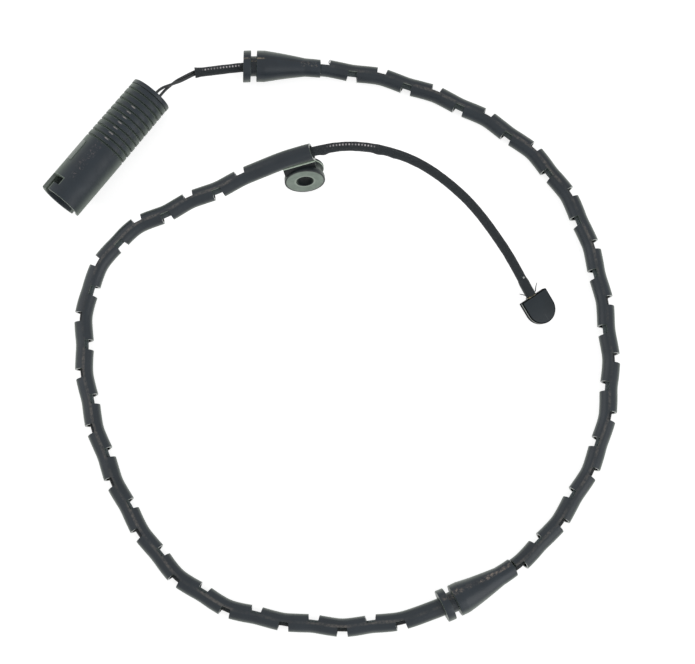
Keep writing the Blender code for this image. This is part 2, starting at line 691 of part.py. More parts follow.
saddle_frame = frame_at(on_route(BUSH_STATION), hose_axis, bush_up)
box_into(
    saddle,
    saddle_frame,
    (-SADDLE_NEAR, -hang + 6.0 * MM, LOWER_END - SADDLE_LENGTH - BUSH_STATION),
    (SADDLE_FAR, -2.6 * MM, LOWER_END - BUSH_STATION),
)
boolean(bush, as_cutter(add_object("saddle_guide", saddle)), "UNION")
hollow_points = [on_route(LOWER_END + d * MM) for d in (-25.8, -18.8, -11.5, -4.8, 2.2, 8.2)]
hollow = solid_along("hose_hollow_guide", hollow_points, HOSE_RADIUS + 0.4 * MM, 24, None)
boolean(bush, as_cutter(hollow), "DIFFERENCE")

# Collar, resin and tip.
collar_points = [on_route(COLLAR_START), on_route(COLLAR_END)]
tube_along("end_collar", collar_points, [2.9 * MM] * 2, [2.55 * MM] * 2, 12, finish_collar)
resin_points = [in_tip(RESIN_START, 0.0), in_tip(RESIN_END, 0.0)]
tube_along("tip_resin", resin_points, [2.3 * MM, 2.6 * MM], [1.8 * MM] * 2, 12, finish_resin)

plate = bmesh.new()
half_width = TIP_WIDTH / 2
straight = TIP_LENGTH - half_width
outline = [(0.0, -half_width), (straight, -half_width)]
outline += [
    (straight + half_width * math.sin(t), -half_width * math.cos(t))
    for t in [math.pi * k / 12 for k in range(1, 12)]
]
outline += [(straight, half_width), (0.0, half_width)]
loft_into(
    plate,
    [
        [TIP @ Vector((x, y, -TIP_THICKNESS / 2)) for x, y in outline],
        [TIP @ Vector((x, y, TIP_THICKNESS / 2)) for x, y in outline],
    ],
)
bmesh.ops.recalc_face_normals(plate, faces=plate.faces)
rims = [e for e in plate.edges if len(e.link_faces) == 2 and e.calc_face_angle(0.0) > 1.0]
bmesh.ops.bevel(plate, geom=rims, offset=0.3 * MM, affect="EDGES", segments=1, profile=0.5, material=-1)
tip = add_object("sensor_tip", plate, finish_tip)
tunnel = bmesh.new()
box_into(
    tunnel,
    TIP,
    (-1.0 * MM, TUNNEL_OFFSET - TUNNEL_WIDTH / 2, -TUNNEL_HEIGHT / 2),
    (TUNNEL_DEPTH, TUNNEL_OFFSET + TUNNEL_WIDTH / 2, TUNNEL_HEIGHT / 2),
)
boolean(tip, as_cutter(add_object("tunnel_guide", tunnel)), "DIFFERENCE")

loop_points = [in_tip(3.0 * MM, -LOOP_HALF_SPAN), in_tip(5.0 * MM, -LOOP_HALF_SPAN)]
for k in range(7):
    t = math.pi * k / 6
    loop_points.append(in_tip(7.0 * MM + LOOP_HALF_SPAN * math.sin(t), -LOOP_HALF_SPAN * math.cos(t)))
loop_points += [in_tip(5.0 * MM, LOOP_HALF_SPAN), in_tip(3.0 * MM, LOOP_HALF_SPAN)]
solid_along("wear_loop", loop_points, LOOP_RADIUS, 6, finish_loop, tip_out)
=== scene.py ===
import math

import bmesh
import bpy
from mathutils import Matrix, Vector, noise


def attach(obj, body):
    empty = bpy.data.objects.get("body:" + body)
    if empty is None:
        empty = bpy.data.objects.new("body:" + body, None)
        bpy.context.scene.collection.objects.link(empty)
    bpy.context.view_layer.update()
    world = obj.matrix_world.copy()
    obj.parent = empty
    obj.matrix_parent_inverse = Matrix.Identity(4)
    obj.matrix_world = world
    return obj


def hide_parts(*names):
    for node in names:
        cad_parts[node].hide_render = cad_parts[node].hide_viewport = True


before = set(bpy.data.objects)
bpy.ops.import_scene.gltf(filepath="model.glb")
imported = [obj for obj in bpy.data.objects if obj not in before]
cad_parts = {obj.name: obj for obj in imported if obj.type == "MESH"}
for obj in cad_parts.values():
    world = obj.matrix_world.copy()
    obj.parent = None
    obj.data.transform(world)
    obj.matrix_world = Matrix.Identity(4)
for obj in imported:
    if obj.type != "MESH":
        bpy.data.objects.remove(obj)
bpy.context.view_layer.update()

MM = 0.001
UP = Vector((0.0, 0.0, 1.0))

# The lead's middle line, from where the sleeve starts to the flat edge of the tip.
ROUTE = [
    (-0.0688, 0.1369, 0.0086), (-0.0379, 0.1404, 0.0082), (-0.0067, 0.1401, 0.0064),
    (0.0241, 0.1362, 0.0046), (0.0536, 0.1265, 0.0044), (0.0813, 0.1124, 0.0044),
    (0.1055, 0.0929, 0.0044), (0.1231, 0.0672, 0.0044), (0.1332, 0.0377, 0.0044),
    (0.1382, 0.0069, 0.0044), (0.1390, -0.0242, 0.0044), (0.1329, -0.0549, 0.0044),
    (0.1188, -0.0827, 0.0044), (0.0993, -0.1070, 0.0054), (0.0738, -0.1248, 0.0080),
    (0.0454, -0.1376, 0.0078), (0.0150, -0.1434, 0.0048), (-0.0161, -0.1416, 0.0044),
    (-0.0467, -0.1351, 0.0044), (-0.0732, -0.1191, 0.0044), (-0.0928, -0.0949, 0.0044),
    (-0.1071, -0.0672, 0.0044), (-0.1172, -0.0378, 0.0044), (-0.1217, -0.0071, 0.0050),
    (-0.1193, 0.0239, 0.0068), (-0.1032, 0.0494, 0.0102), (-0.0761, 0.0635, 0.0145),
    (-0.0476, 0.0753, 0.0193), (-0.0189, 0.0864, 0.0243), (0.0115, 0.0921, 0.0251),
    (0.0415, 0.0862, 0.0210), (0.0668, 0.0691, 0.0160), (0.0861, 0.0455, 0.0108),
    (0.1009, 0.0195, 0.0069),
]

# Stations: distances along that line.
UPPER_HOSE = (64.6 * MM, 418.0 * MM)
LOWER_HOSE = (455.3 * MM, 883.8 * MM)
UPPER_NOTCHES = [(66.48 + 14.554 * k) * MM for k in range(25)]
LOWER_NOTCHES = [(479.46 + 14.123 * k) * MM for k in range(27)]
UPPER_GROMMET_FACE = 24.8 * MM
LOWER_GROMMET_FACE = 458.5 * MM
SADDLE_START = 867.5 * MM
BUSH_STATION = 878.9 * MM

SLEEVE_RADIUS = 2.35 * MM
SLEEVE_WALL = 0.5 * MM
WIRE_RADIUS = 0.72 * MM
WIRE_FROM_MIDDLE = 0.76 * MM
HOSE_RADIUS = 4.45 * MM
HOSE_BORE = 3.40 * MM
NOTCH_FLOOR = 0.3 * MM
NOTCH_MOUTH = 6.35 * MM
NOTCH_HALF = 2.2 * MM
NOTCH_FLARE = 0.123


# --- lines through points ---


def smooth_line(points, steps):
    """A soft curve through all the points."""
    known = [Vector(p) for p in points]
    padded = [known[0] * 2 - known[1]] + known + [known[-1] * 2 - known[-2]]
    out = []
    for a, b, c, d in zip(padded, padded[1:], padded[2:], padded[3:]):
        squared = 2 * a - 5 * b + 4 * c - d
        cubed = 3 * b - a - 3 * c + d
        for k in range(steps):
            t = k / steps
            out.append(0.5 * (2 * b + (c - a) * t + squared * t * t + cubed * t**3))
    return out + [known[-1]]


def distances(line):
    """How far along a line each of its points lies."""
    out = [0.0]
    for before, after in zip(line, line[1:]):
        out.append(out[-1] + (after - before).length)
    return out


DENSE = smooth_line(ROUTE, 24)
LENGTHS = distances(DENSE)
SLEEVE_END = LENGTHS[-1] - 2.0 * MM


def on_route(s):
    """The point at a station of the lead."""
    low, high = 0, len(LENGTHS) - 1
    while high - low > 1:
        middle = (low + high) // 2
        if LENGTHS[middle] <= s:
            low = middle
        else:
            high = middle
    return DENSE[low].lerp(DENSE[high], (s - LENGTHS[low]) / (LENGTHS[high] - LENGTHS[low]))


def heading(s):
    return (on_route(min(s + 2 * MM, LENGTHS[-1])) - on_route(max(s - 2 * MM, 0.0))).normalized()


def left_of(s):
    return UP.cross(heading(s)).normalized()


def spread(start, end, step):
    """Even places from start to end, no further apart than step."""
    count = max(1, math.ceil((end - start) / step))
    return [start + (end - start) * k / count for k in range(count + 1)]


def placed(origin, tangent, up=UP):
    """A matrix whose X points left of travel, Y up and Z along."""
    along = tangent.normalized()
    left = up.cross(along).normalized()
    matrix = Matrix((left, along.cross(left), along)).transposed().to_4x4()
    matrix.translation = origin
    return matrix


def placed_along(points, up=UP):
    out = []
    for k, point in enumerate(points):
        ahead = points[min(k + 1, len(points) - 1)]
        behind = points[max(k - 1, 0)]
        out.append(placed(point, ahead - behind, up))
    return out


def ring(matrix, radius, corners, dent=None):
    """Round section of a piece; dent gives what the radius gains at a turn."""
    out = []
    for k in range(corners):
        turn = 2 * math.pi * (k + 0.5) / corners
        reach = radius + (dent(turn) if dent else 0.0)
        out.append(matrix @ Vector((reach * math.cos(turn), reach * math.sin(turn), 0.0)))
    return out


def uneven(height, place, turn, fine, shift=0.0):
    """Soft unevenness at a place along a piece and a turn around it."""
    across = Vector((place, math.cos(turn) * fine, math.sin(turn) * fine + shift))
    return height * noise.noise(across)


def eased(profile, radius, steps=3, longest=None, closed=True):
    """A profile with rounded corners, and long straights divided."""
    out = []
    count = len(profile)
    for k, here in enumerate(profile):
        if not closed and k in (0, count - 1):
            out.append(here)
            continue
        b = Vector(here)
        a = Vector(profile[k - 1])
        c = Vector(profile[(k + 1) % count])
        cut = min(radius, 0.45 * (a - b).length, 0.45 * (c - b).length)
        first = b + (a - b).normalized() * cut
        last = b + (c - b).normalized() * cut
        for j in range(steps + 1):
            t = j / steps
            out.append(tuple(first * (1 - t) ** 2 + b * 2 * t * (1 - t) + last * t * t))
    if longest:
        divided = []
        for k, here in enumerate(out):
            divided.append(here)
            if k + 1 < len(out) or closed:
                there = out[(k + 1) % len(out)]
                parts = math.ceil(math.hypot(there[0] - here[0], there[1] - here[1]) / longest)
                divided += [
                    tuple(Vector(here).lerp(Vector(there), j / parts)) for j in range(1, parts)
                ]
        out = divided
    return out


# --- skins over rings ---


def skin_into(bm, rings, closed=False, stations=None):
    """Extrudes a round of edges from each ring to the next; stations add a map of station and turn."""
    count = len(rings[0])
    row = bmesh.ops.create_circle(bm, cap_ends=False, radius=MM, segments=count)["verts"]
    for vert, place in zip(row, rings[0]):
        vert.co = place
    edges = [bm.edges.get((row[k], row[(k + 1) % count])) for k in range(count)]
    first_row, first_edges = row, edges
    around = {vert: k for k, vert in enumerate(row)}
    station = {vert: 0 for vert in row}
    targets = rings[1:] + ([rings[0]] if closed else [])
    made_faces = []
    for number, target in enumerate(targets, 1):
        result = bmesh.ops.extrude_edge_only(bm, edges=edges)["geom"]
        fresh = {g for g in result if isinstance(g, bmesh.types.BMVert)}
        made_faces += [g for g in result if isinstance(g, bmesh.types.BMFace)]
        new_row = []
        for vert in row:
            reached = (edge.other_vert(vert) for edge in vert.link_edges)
            new_row.append(next(other for other in reached if other in fresh))
        for k, (vert, place) in enumerate(zip(new_row, target)):
            vert.co = place
            around[vert] = k
            station[vert] = number
        row = new_row
        edges = [bm.edges.get((row[k], row[(k + 1) % count])) for k in range(count)]
    if stations:
        uv = bm.loops.layers.uv.verify()
        places = stations + [stations[0]]
        for face in made_faces:
            turns = [around[loop.vert] for loop in face.loops]
            wraps = max(turns) - min(turns) > 1
            for loop, turn in zip(face.loops, turns):
                if wraps and turn == 0:
                    turn = count
                loop[uv].uv = (places[station[loop.vert]] / MM, (turn + 0.5) / count)
    if closed:
        bmesh.ops.remove_doubles(bm, verts=first_row + row, dist=1e-6)
    else:
        bmesh.ops.contextual_create(bm, geom=first_edges)
        bmesh.ops.contextual_create(bm, geom=edges)


def face_outward(bm):
    """Turns the faces of each separate body outward."""
    bmesh.ops.recalc_face_normals(bm, faces=bm.faces)
    waiting = set(bm.faces)
    while waiting:
        body = [waiting.pop()]
        for face in body:
            for edge in face.edges:
                for other in edge.link_faces:
                    if other in waiting:
                        waiting.remove(other)
                        body.append(other)
        volume = sum(f.calc_area() * f.normal.dot(f.calc_center_median()) for f in body)
        if volume < 0:
            bmesh.ops.reverse_faces(bm, faces=body)


def round_edges(bm, offset, segments=2):
    """Rounds the edges that turn by more than a radian."""
    bmesh.ops.recalc_face_normals(bm, faces=bm.faces)
    edges = [e for e in bm.edges if len(e.link_faces) == 2 and e.calc_face_angle(0.0) > 1.0]
    bmesh.ops.bevel(
        bm, geom=edges, offset=offset, affect="EDGES", segments=segments, profile=0.5, material=-1
    )


def finished(name, bm, finishes, sharp=35.0, use=0):
    """Makes a piece with its finishes; use picks the one that all its faces take."""
    face_outward(bm)
    mesh = bpy.data.meshes.new(name)
    bm.to_mesh(mesh)
    bm.free()
    for finish in finishes:
        mesh.materials.append(finish.material)
    for face in mesh.polygons:
        face.use_smooth = True
        face.material_index = use
    mesh.set_sharp_from_angle(angle=math.radians(sharp))
    piece = bpy.data.objects.new(name, mesh)
    bpy.context.collection.objects.link(piece)
    return piece


def skin(name, rings, finishes, closed=False, stations=None, sharp=35.0):
    bm = bmesh.new()
    skin_into(bm, rings, closed, stations)
    return finished(name, bm, finishes, sharp)


def cut_or_join(piece, tool, operation):
    """Applies a Boolean with a tool piece, then removes the tool."""
    change = piece.modifiers.new("shape", "BOOLEAN")
    change.operation = operation
    change.solver = "EXACT"
    change.object = tool
    graph = bpy.context.evaluated_depsgraph_get()
    mesh = bpy.data.meshes.new_from_object(piece.evaluated_get(graph), depsgraph=graph)
    piece.modifiers.clear()
    piece.data = mesh
    bpy.data.objects.remove(tool)
    mesh.set_sharp_from_angle(angle=math.radians(35.0))


# --- finishes ---


def new_node(tree, kind, values):
    made = tree.nodes.new(kind)
    for socket, value in values.items():
        made.inputs[socket].default_value = value
    return made


class Finish:
    """A Principled finish with helpers for the nodes behind it."""

    def __init__(self, name, colour, roughness, metallic=0.0):
        self.material = bpy.data.materials.new(name)
        self.material.use_nodes = True
        self.tree = self.material.node_tree
        self.shader = self.tree.nodes["Principled BSDF"]
        self.shader.inputs["Base Color"].default_value = (*colour, 1.0)
        self.shader.inputs["Roughness"].default_value = roughness
        self.shader.inputs["Metallic"].default_value = metallic
        self.place = self.tree.nodes.new("ShaderNodeTexCoord")
        self.bump_out = None

    def link(self, source, target):
        self.tree.links.new(source, target)

    def math(self, operation, a, b=None, c=None):
        made = self.tree.nodes.new("ShaderNodeMath")
        made.operation = operation
        for socket, value in zip(made.inputs, (a, b, c)):
            if value is None:
                continue
            if isinstance(value, (int, float)):
                socket.default_value = value
            else:
                self.link(value, socket)
        return made.outputs[0]

    def measure(self, operation, vector):
        """The DISTANCE of the object's coordinates from a point, or their DOT_PRODUCT with a direction."""
        made = self.tree.nodes.new("ShaderNodeVectorMath")
        made.operation = operation
        self.link(self.place.outputs["Object"], made.inputs[0])
        made.inputs[1].default_value = vector
        return made.outputs["Value"]

    def noise(self, scale, detail=4.0, rough=0.55):
        values = {"Scale": scale, "Detail": detail, "Roughness": rough}
        made = new_node(self.tree, "ShaderNodeTexNoise", values)
        self.link(self.place.outputs["Object"], made.inputs["Vector"])
        return made.outputs["Fac"]

    def remap(self, value, low, high, to_low, to_high, smooth=False):
        values = {"From Min": low, "From Max": high, "To Min": to_low, "To Max": to_high}
        made = new_node(self.tree, "ShaderNodeMapRange", values)
        if smooth:
            made.interpolation_type = "SMOOTHSTEP"
        self.link(value, made.inputs["Value"])
        return made.outputs["Result"]

    def blend(self, factor, first, second):
        made = self.tree.nodes.new("ShaderNodeMix")
        made.data_type = "RGBA"
        for socket, value in ((made.inputs[6], first), (made.inputs[7], second)):
            if isinstance(value, tuple):
                socket.default_value = (*value, 1.0)
            else:
                self.link(value, socket)
        self.link(factor, made.inputs[0])
        return made.outputs[2]

    def paint(self, source):
        self.link(source, self.shader.inputs["Base Color"])

    def mottle(self, scale, low, high, first, second):
        """Patches of one colour in another."""
        self.paint(self.blend(self.remap(self.noise(scale), low, high, 0.0, 1.0), first, second))

    def sheen(self, scale, low, high):
        """A roughness that wanders from low to high."""
        rough = self.remap(self.noise(scale), 0.3, 0.7, low, high)
        self.link(rough, self.shader.inputs["Roughness"])

    def bump(self, height, strength, distance):
        made = new_node(self.tree, "ShaderNodeBump", {"Strength": strength, "Distance": distance})
        self.link(height, made.inputs["Height"])
        if self.bump_out:
            self.link(self.bump_out, made.inputs["Normal"])
        self.bump_out = made.outputs["Normal"]
        self.link(self.bump_out, self.shader.inputs["Normal"])

    def uv(self):
        """Station in millimetres and turn from 0 to 1, of a piece that follows the lead."""
        made = self.tree.nodes.new("ShaderNodeSeparateXYZ")
        self.link(self.place.outputs["UV"], made.inputs[0])
        return made.outputs["X"], made.outputs["Y"]


def near_line(made, turn, line, inner, outer, wander=0.0):
    """1 on a line at one turn of a piece, 0 away from it."""
    if wander:
        line = made.math("MULTIPLY_ADD", made.noise(28.0, 2.0), wander, line - wander / 2)
    away = made.math("ABSOLUTE", made.math("SUBTRACT", turn, line))
    return made.remap(away, inner, outer, 1.0, 0.0, smooth=True)


def between(made, value, low, high, soft):
    """1 between two values, 0 outside them."""
    rising = made.remap(value, low - soft, low + soft, 0.0, 1.0, smooth=True)
    falling = made.remap(value, high - soft, high + soft, 1.0, 0.0, smooth=True)
    return made.math("MULTIPLY", rising, falling)


def times(made, *values):
    out = values[0]
    for value in values[1:]:
        out = made.math("MULTIPLY", out, value)
    return out


DUST = (0.20, 0.165, 0.14)
# Colour of the painted reflection towards the edges of black pieces.
PAINTED_EDGE_SHEEN = (0.150, 0.185, 0.150)


def moulded_black(
    name, colour, roughness, grain=900.0, depth=0.00006, specks=0.70, rim=0.80, wide=0.24,
    gloss=0.40, marks=None,
):
    """Black rubber or plastic with a fine grain, an uneven sheen, a few specks of dust and a painted
    reflection: a paler sheen painted towards its edges, as strong as rim and from wide on. marks adds more
    to the colour."""
    made = Finish(name, colour, roughness)
    made.shader.inputs["Specular IOR Level"].default_value = gloss
    cloudy = made.noise(70.0, 5.0)
    lighter = tuple(min(1.0, c * 1.35 + 0.002) for c in colour)
    tone = made.blend(made.remap(cloudy, 0.35, 0.7, 0.0, 1.0), colour, lighter)
    dusty = made.remap(made.noise(420.0, 5.0, 0.7), specks, specks + 0.12, 0.0, 0.5, smooth=True)
    tone = made.blend(dusty, tone, DUST)
    if marks:
        tone = marks(made, tone)
    # Painted reflection: faces seen at a slant are painted paler towards their edges.
    edge = new_node(made.tree, "ShaderNodeLayerWeight", {"Blend": 0.5})
    painted_edge_sheen = made.remap(edge.outputs["Facing"], wide, wide + 0.64, 0.0, rim, smooth=True)
    made.paint(made.blend(painted_edge_sheen, tone, PAINTED_EDGE_SHEEN))
    made.sheen(160.0, roughness - 0.05, roughness + 0.07)
    made.bump(made.noise(grain, 3.0), 0.30, depth)
    return made


def hose_marks(made, tone):
    """A faint dusty mould line along the top, broken here and there and worn off before the end."""
    station, turn = made.uv()
    near = near_line(made, turn, 0.25, 0.008, 0.042, wander=0.05)
    broken = made.remap(made.noise(700.0, 4.0, 0.7), 0.36, 0.64, 0.05, 0.50)
    stretches = made.remap(made.noise(55.0, 2.0), 0.40, 0.58, 0.15, 1.0, smooth=True)
    worn = made.remap(station, 855.0, 866.0, 1.0, 0.0)
    made.bump(near, 0.30, 0.00010)
    return made.blend(times(made, near, broken, stretches, worn, 1.15), tone, (0.190, 0.172, 0.155))


def grommet_upper_marks(made, tone):
    """Dusty dashes on the flange, the neck and the start of the body, and faint ones on the nose."""
    station, turn = made.uv()
    near = near_line(made, turn, 0.222, 0.004, 0.013, wander=0.010)
    front = between(made, station, 25.2, 35.5, 0.6)
    broken = made.remap(made.noise(900.0, 4.0, 0.7), 0.40, 0.58, 0.0, 0.75)
    tone = made.blend(times(made, near, front, broken), tone, (0.30, 0.25, 0.19))
    line = near_line(made, turn, 0.214, 0.002, 0.007)
    body = between(made, station, 36.0, 60.0, 2.0)
    tone = made.blend(times(made, line, body), tone, (0.010, 0.012, 0.014))
    nose = between(made, station, 54.5, 62.5, 0.8)
    patch = times(made, near_line(made, turn, 0.235, 0.02, 0.07), nose)
    grains = made.remap(made.noise(800.0, 4.0, 0.75), 0.53, 0.62, 0.0, 0.55)
    return made.blend(times(made, patch, grains), tone, (0.26, 0.23, 0.19))


def grommet_lower_marks(made, tone):
    """A broad band of dust along the top of the body, heaviest halfway along the taper."""
    station, turn = made.uv()
    band = near_line(made, turn, 0.315, 0.012, 0.045, wander=0.03)
    grains = made.remap(made.noise(650.0, 5.0, 0.75), 0.45, 0.62, 0.0, 0.8)
    patchy = made.remap(made.noise(190.0, 3.0, 0.6), 0.42, 0.60, 0.15, 1.0, smooth=True)
    halfway = between(made, station, 428.5, 434.5, 1.2)
    heavy = made.math("MAXIMUM", halfway, made.math("MULTIPLY", patchy, 0.65))
    along = between(made, station, 419.5, 457.0, 1.0)
    return made.blend(times(made, band, grains, heavy, along), tone, (0.46, 0.38, 0.32))


FIRST_RIB = 35.4
RIB_STEP = 3.5
RIBS = 10


def shell_marks(made, tone):
    """Dust on the barrel, a light scuff on each rib, a dark mould line beside them, and painted highlights
    on the slots' rims.
    """
    station, turn = made.uv()
    barrel = between(made, station, 12.0, 34.5, 2.5)
    band = near_line(made, turn, 0.244, 0.006, 0.040, wander=0.02)
    grains = made.remap(made.noise(900.0, 4.0, 0.7), 0.54, 0.66, 0.0, 0.50)
    tone = made.blend(times(made, barrel, band, grains), tone, (0.21, 0.175, 0.175))
    ribs = between(made, station, 35.5, 60.0, 1.5)
    steps = made.math("MULTIPLY_ADD", station, 1 / RIB_STEP, -FIRST_RIB / RIB_STEP)
    middle = between(made, made.math("FRACT", steps), 0.62, 0.74, 0.08)
    streaks = made.remap(made.noise(1100.0, 3.0, 0.7), 0.40, 0.56, 0.35, 1.0)
    scuff = near_line(made, turn, 0.258, 0.004, 0.026)
    tone = made.blend(times(made, ribs, middle, scuff, streaks), tone, (0.50, 0.46, 0.45))
    seam = near_line(made, turn, 0.370, 0.0010, 0.0035)
    beside = between(made, station, 33.0, 56.0, 1.0)
    tone = made.blend(times(made, seam, beside, 0.9), tone, (0.001, 0.001, 0.0015))
    # Both slots at once: twice the turn, so that the second slot falls on the first.
    twice = made.math("FRACT", made.math("MULTIPLY", turn, 2.0))
    # Painted highlight lines along the slots' edges, where they catch the light.
    painted_slot_rims = []
    for along, around in (
        ((8.75, 9.15, 0.06), (0.100, 0.425, 0.004)),
        ((4.6, 9.10, 0.1), (0.4185, 0.4280, 0.0015)),
        ((0.0, 4.4, 0.1), (0.3240, 0.3335, 0.0015)),
    ):
        painted_slot_rims.append(times(made, between(made, station, *along), between(made, twice, *around)))
    rim = made.math("MAXIMUM", painted_slot_rims[0], made.math("MAXIMUM", painted_slot_rims[1], painted_slot_rims[2]))
    return made.blend(times(made, rim, 0.9), tone, (0.150, 0.185, 0.155))


BUSH_FACE_MIDDLE = (-0.01227, 0.07779, 0.01217)


def bush_face_painted_light(made, tone):
    """The front ring: a painted highlight next to the hole, painted shade at its rounded outer edge, and
    cloudy patches.
    """
    far = made.measure("DISTANCE", BUSH_FACE_MIDDLE)
    cloudy = made.remap(made.noise(320.0, 3.0, 0.6), 0.35, 0.65, 0.0, 0.5)
    tone = made.blend(cloudy, tone, (0.162, 0.203, 0.170))
    # Painted highlight next to the hole, and painted shade at the rounded outer edge.
    painted_highlight_by_hole = made.remap(far, 0.0049, 0.0056, 0.8, 0.0, smooth=True)
    tone = made.blend(painted_highlight_by_hole, tone, (0.350, 0.420, 0.355))
    painted_shade_at_edge = made.remap(far, 0.0091, 0.0097, 0.0, 0.97, smooth=True)
    return made.blend(painted_shade_at_edge, tone, (0.0040, 0.0050, 0.0070))


BLACK = (0.0100, 0.0165, 0.0235)
hose_finish = moulded_black("hose_rubber", (0.0110, 0.0170, 0.0230), 0.40, marks=hose_marks)
grommet_upper_finish = moulded_black("grommet_upper_rubber", BLACK, 0.38, marks=grommet_upper_marks)
grommet_lower_finish = moulded_black(
    "grommet_lower_rubber", BLACK, 0.38, specks=0.68, marks=grommet_lower_marks
)
shell_finish = moulded_black(
    "shell_plastic", BLACK, 0.48, grain=1400.0, depth=0.00004, specks=0.74, rim=0.92, wide=0.16,
    marks=shell_marks,
)
cap_finish = moulded_black("cap_plastic", BLACK, 0.38, grain=1200.0, specks=0.74)
carrier_finish = moulded_black("carrier_plastic", (0.0080, 0.0090, 0.0100), 0.45, specks=0.8)
bush_finish = moulded_black("bush_rubber", (0.0120, 0.0170, 0.0200), 0.40, specks=0.72)
# Its front face: painted much lighter than the rest of the bush, partly a bloom on the rubber and partly
# painted reflected light.
bush_face_lit_finish = moulded_black(
    "bush_face_rubber_painted_light", (0.215, 0.266, 0.224), 0.45, specks=0.78, rim=0.0, marks=bush_face_painted_light
)
collar_finish = moulded_black(
    "collar_plastic", (0.0065, 0.0100, 0.0130), 0.42, specks=0.78, rim=0.3, gloss=0.33
)

# Painted highlights: cut faces, edges and lips given a glossier and much paler finish than the skin around
# them, in place of the light that they catch.
hose_cut_highlight_finish = moulded_black(
    "hose_rubber_cut_painted_highlight", (0.290, 0.345, 0.290), 0.20, specks=0.8, rim=0.9, gloss=0.75
)
shell_highlight_finish = moulded_black(
    "shell_plastic_painted_highlight", (0.110, 0.135, 0.115), 0.22, specks=0.8, rim=0.9, gloss=0.7
)
tip_highlight_finish = moulded_black(
    "tip_plastic_painted_highlight", (0.200, 0.240, 0.210), 0.14, specks=0.8, rim=0.9, gloss=0.8
)
bush_highlight_finish = moulded_black(
    "bush_rubber_painted_highlight", (0.470, 0.560, 0.460), 0.30, specks=0.8, rim=0.3, gloss=0.7
)

# Faces that lie in the shade of their own piece: deeper black and dull.
bush_shade_finish = moulded_black(
    "bush_rubber_shade", (0.0030, 0.0040, 0.0060), 0.55, specks=0.8, rim=0.1, gloss=0.2
)
tip_shade_finish = moulded_black(
    "tip_plastic_shade", (0.0015, 0.0020, 0.0025), 0.55, specks=0.85, rim=0.0, gloss=0.03
)


def woven_black():
    """Black braid: two sets of yarns that cross, a few lighter fibres, painted light and shade on its
    sides, and a row of painted highlight dots.
    """
    made = Finish("braid", (0.010, 0.013, 0.016), 0.55)
    made.shader.inputs["Specular IOR Level"].default_value = 0.33
    station, turn = made.uv()
    windings = 2 * math.pi * 12
    yarns = []
    for slope in (5.4, -5.4):
        slanted = made.math("MULTIPLY", station, slope)
        yarns.append(made.math("SINE", made.math("MULTIPLY_ADD", turn, windings, slanted)))
    crossings = made.math("ABSOLUTE", made.math("MULTIPLY", *yarns))
    raised = made.remap(crossings, 0.1, 0.9, 0.0, 1.0)
    tone = made.blend(raised, (0.0100, 0.0135, 0.0170), (0.042, 0.053, 0.060))
    # Painted light on its right side where the notches lay it open, and painted shade along its left side.
    by_upper_hose = between(made, station, 66.0, 416.0, 1.5)
    by_lower_hose = between(made, station, 462.0, 868.0, 1.5)
    painted_light_under_hose = made.math("MAXIMUM", by_upper_hose, by_lower_hose)
    right_side = between(made, turn, 0.26, 0.62, 0.03)
    tone = made.blend(times(made, painted_light_under_hose, right_side), tone, (0.100, 0.125, 0.130))
    tone = made.blend(near_line(made, turn, 0.03, 0.055, 0.130), tone, (0.0010, 0.0012, 0.0016))
    light_yarn = made.remap(made.noise(1300.0, 2.0, 0.5), 0.62, 0.76, 0.0, 0.45, smooth=True)
    tone = made.blend(times(made, light_yarn, crossings), tone, (0.24, 0.24, 0.23))
    # A row of painted highlight dots along one turn, where the yarns' crossings catch the light.
    rows = made.math("FRACT", made.math("MULTIPLY", station, 1 / 1.56))
    painted_highlight_dots = between(made, rows, 0.30, 0.72, 0.16)
    by_wires = between(made, station, 4.5, 23.0, 1.0)
    past_hose = between(made, station, 893.0, 914.5, 2.5)
    shown = made.math("MAXIMUM", by_wires, past_hose)
    row = near_line(made, turn, 0.232, 0.018, 0.042)
    fading = made.remap(made.noise(330.0, 2.0), 0.33, 0.55, 0.45, 1.0)
    tone = made.blend(times(made, painted_highlight_dots, shown, row, fading), tone, (0.80, 0.76, 0.78))
    by_collar = between(made, station, 1016.9, 1018.2, 0.3)
    glint = times(made, by_collar, near_line(made, turn, 0.20, 0.02, 0.05))
    made.paint(made.blend(glint, tone, (0.62, 0.64, 0.62)))
    made.bump(made.noise(2600.0, 3.0), 0.5, 0.00012)
    made.bump(crossings, 0.9, 0.00028)
    return made


braid_finish = woven_black()

yarn_finish = Finish("loose_yarn", (0.035, 0.030, 0.030), 0.6)
yarn_finish.bump(yarn_finish.noise(2400.0, 2.0), 0.3, 0.00005)

wire_finish = Finish("wire_insulation", (0.010, 0.014, 0.015), 0.30)
wire_finish.bump(wire_finish.noise(500.0, 2.0), 0.2, 0.00005)
wire_finish.sheen(220.0, 0.24, 0.42)

brass_finish = Finish("contact_brass", (0.80, 0.62, 0.28), 0.26, 1.0)
brass_finish.mottle(300.0, 0.35, 0.7, (0.82, 0.64, 0.30), (0.60, 0.43, 0.19))
brass_finish.sheen(700.0, 0.2, 0.4)
brass_finish.bump(brass_finish.noise(1500.0), 0.15, 0.00004)

copper_finish = Finish("loop_copper", (0.72, 0.40, 0.25), 0.32, 1.0)
copper_finish.bump(copper_finish.noise(1800.0), 0.2, 0.00004)

seal_finish = Finish("seal_rubber", (0.11, 0.045, 0.03), 0.6)
seal_finish.mottle(240.0, 0.3, 0.7, (0.12, 0.05, 0.034), (0.085, 0.035, 0.024))
seal_finish.bump(seal_finish.noise(900.0), 0.3, 0.00008)

resin_finish = Finish("resin", (0.42, 0.33, 0.16), 0.32)
resin_finish.mottle(800.0, 0.38, 0.55, (0.36, 0.30, 0.15), (0.030, 0.028, 0.018))
resin_finish.bump(resin_finish.noise(900.0), 0.6, 0.0003)

# --- camera, a metre away on the near side ---

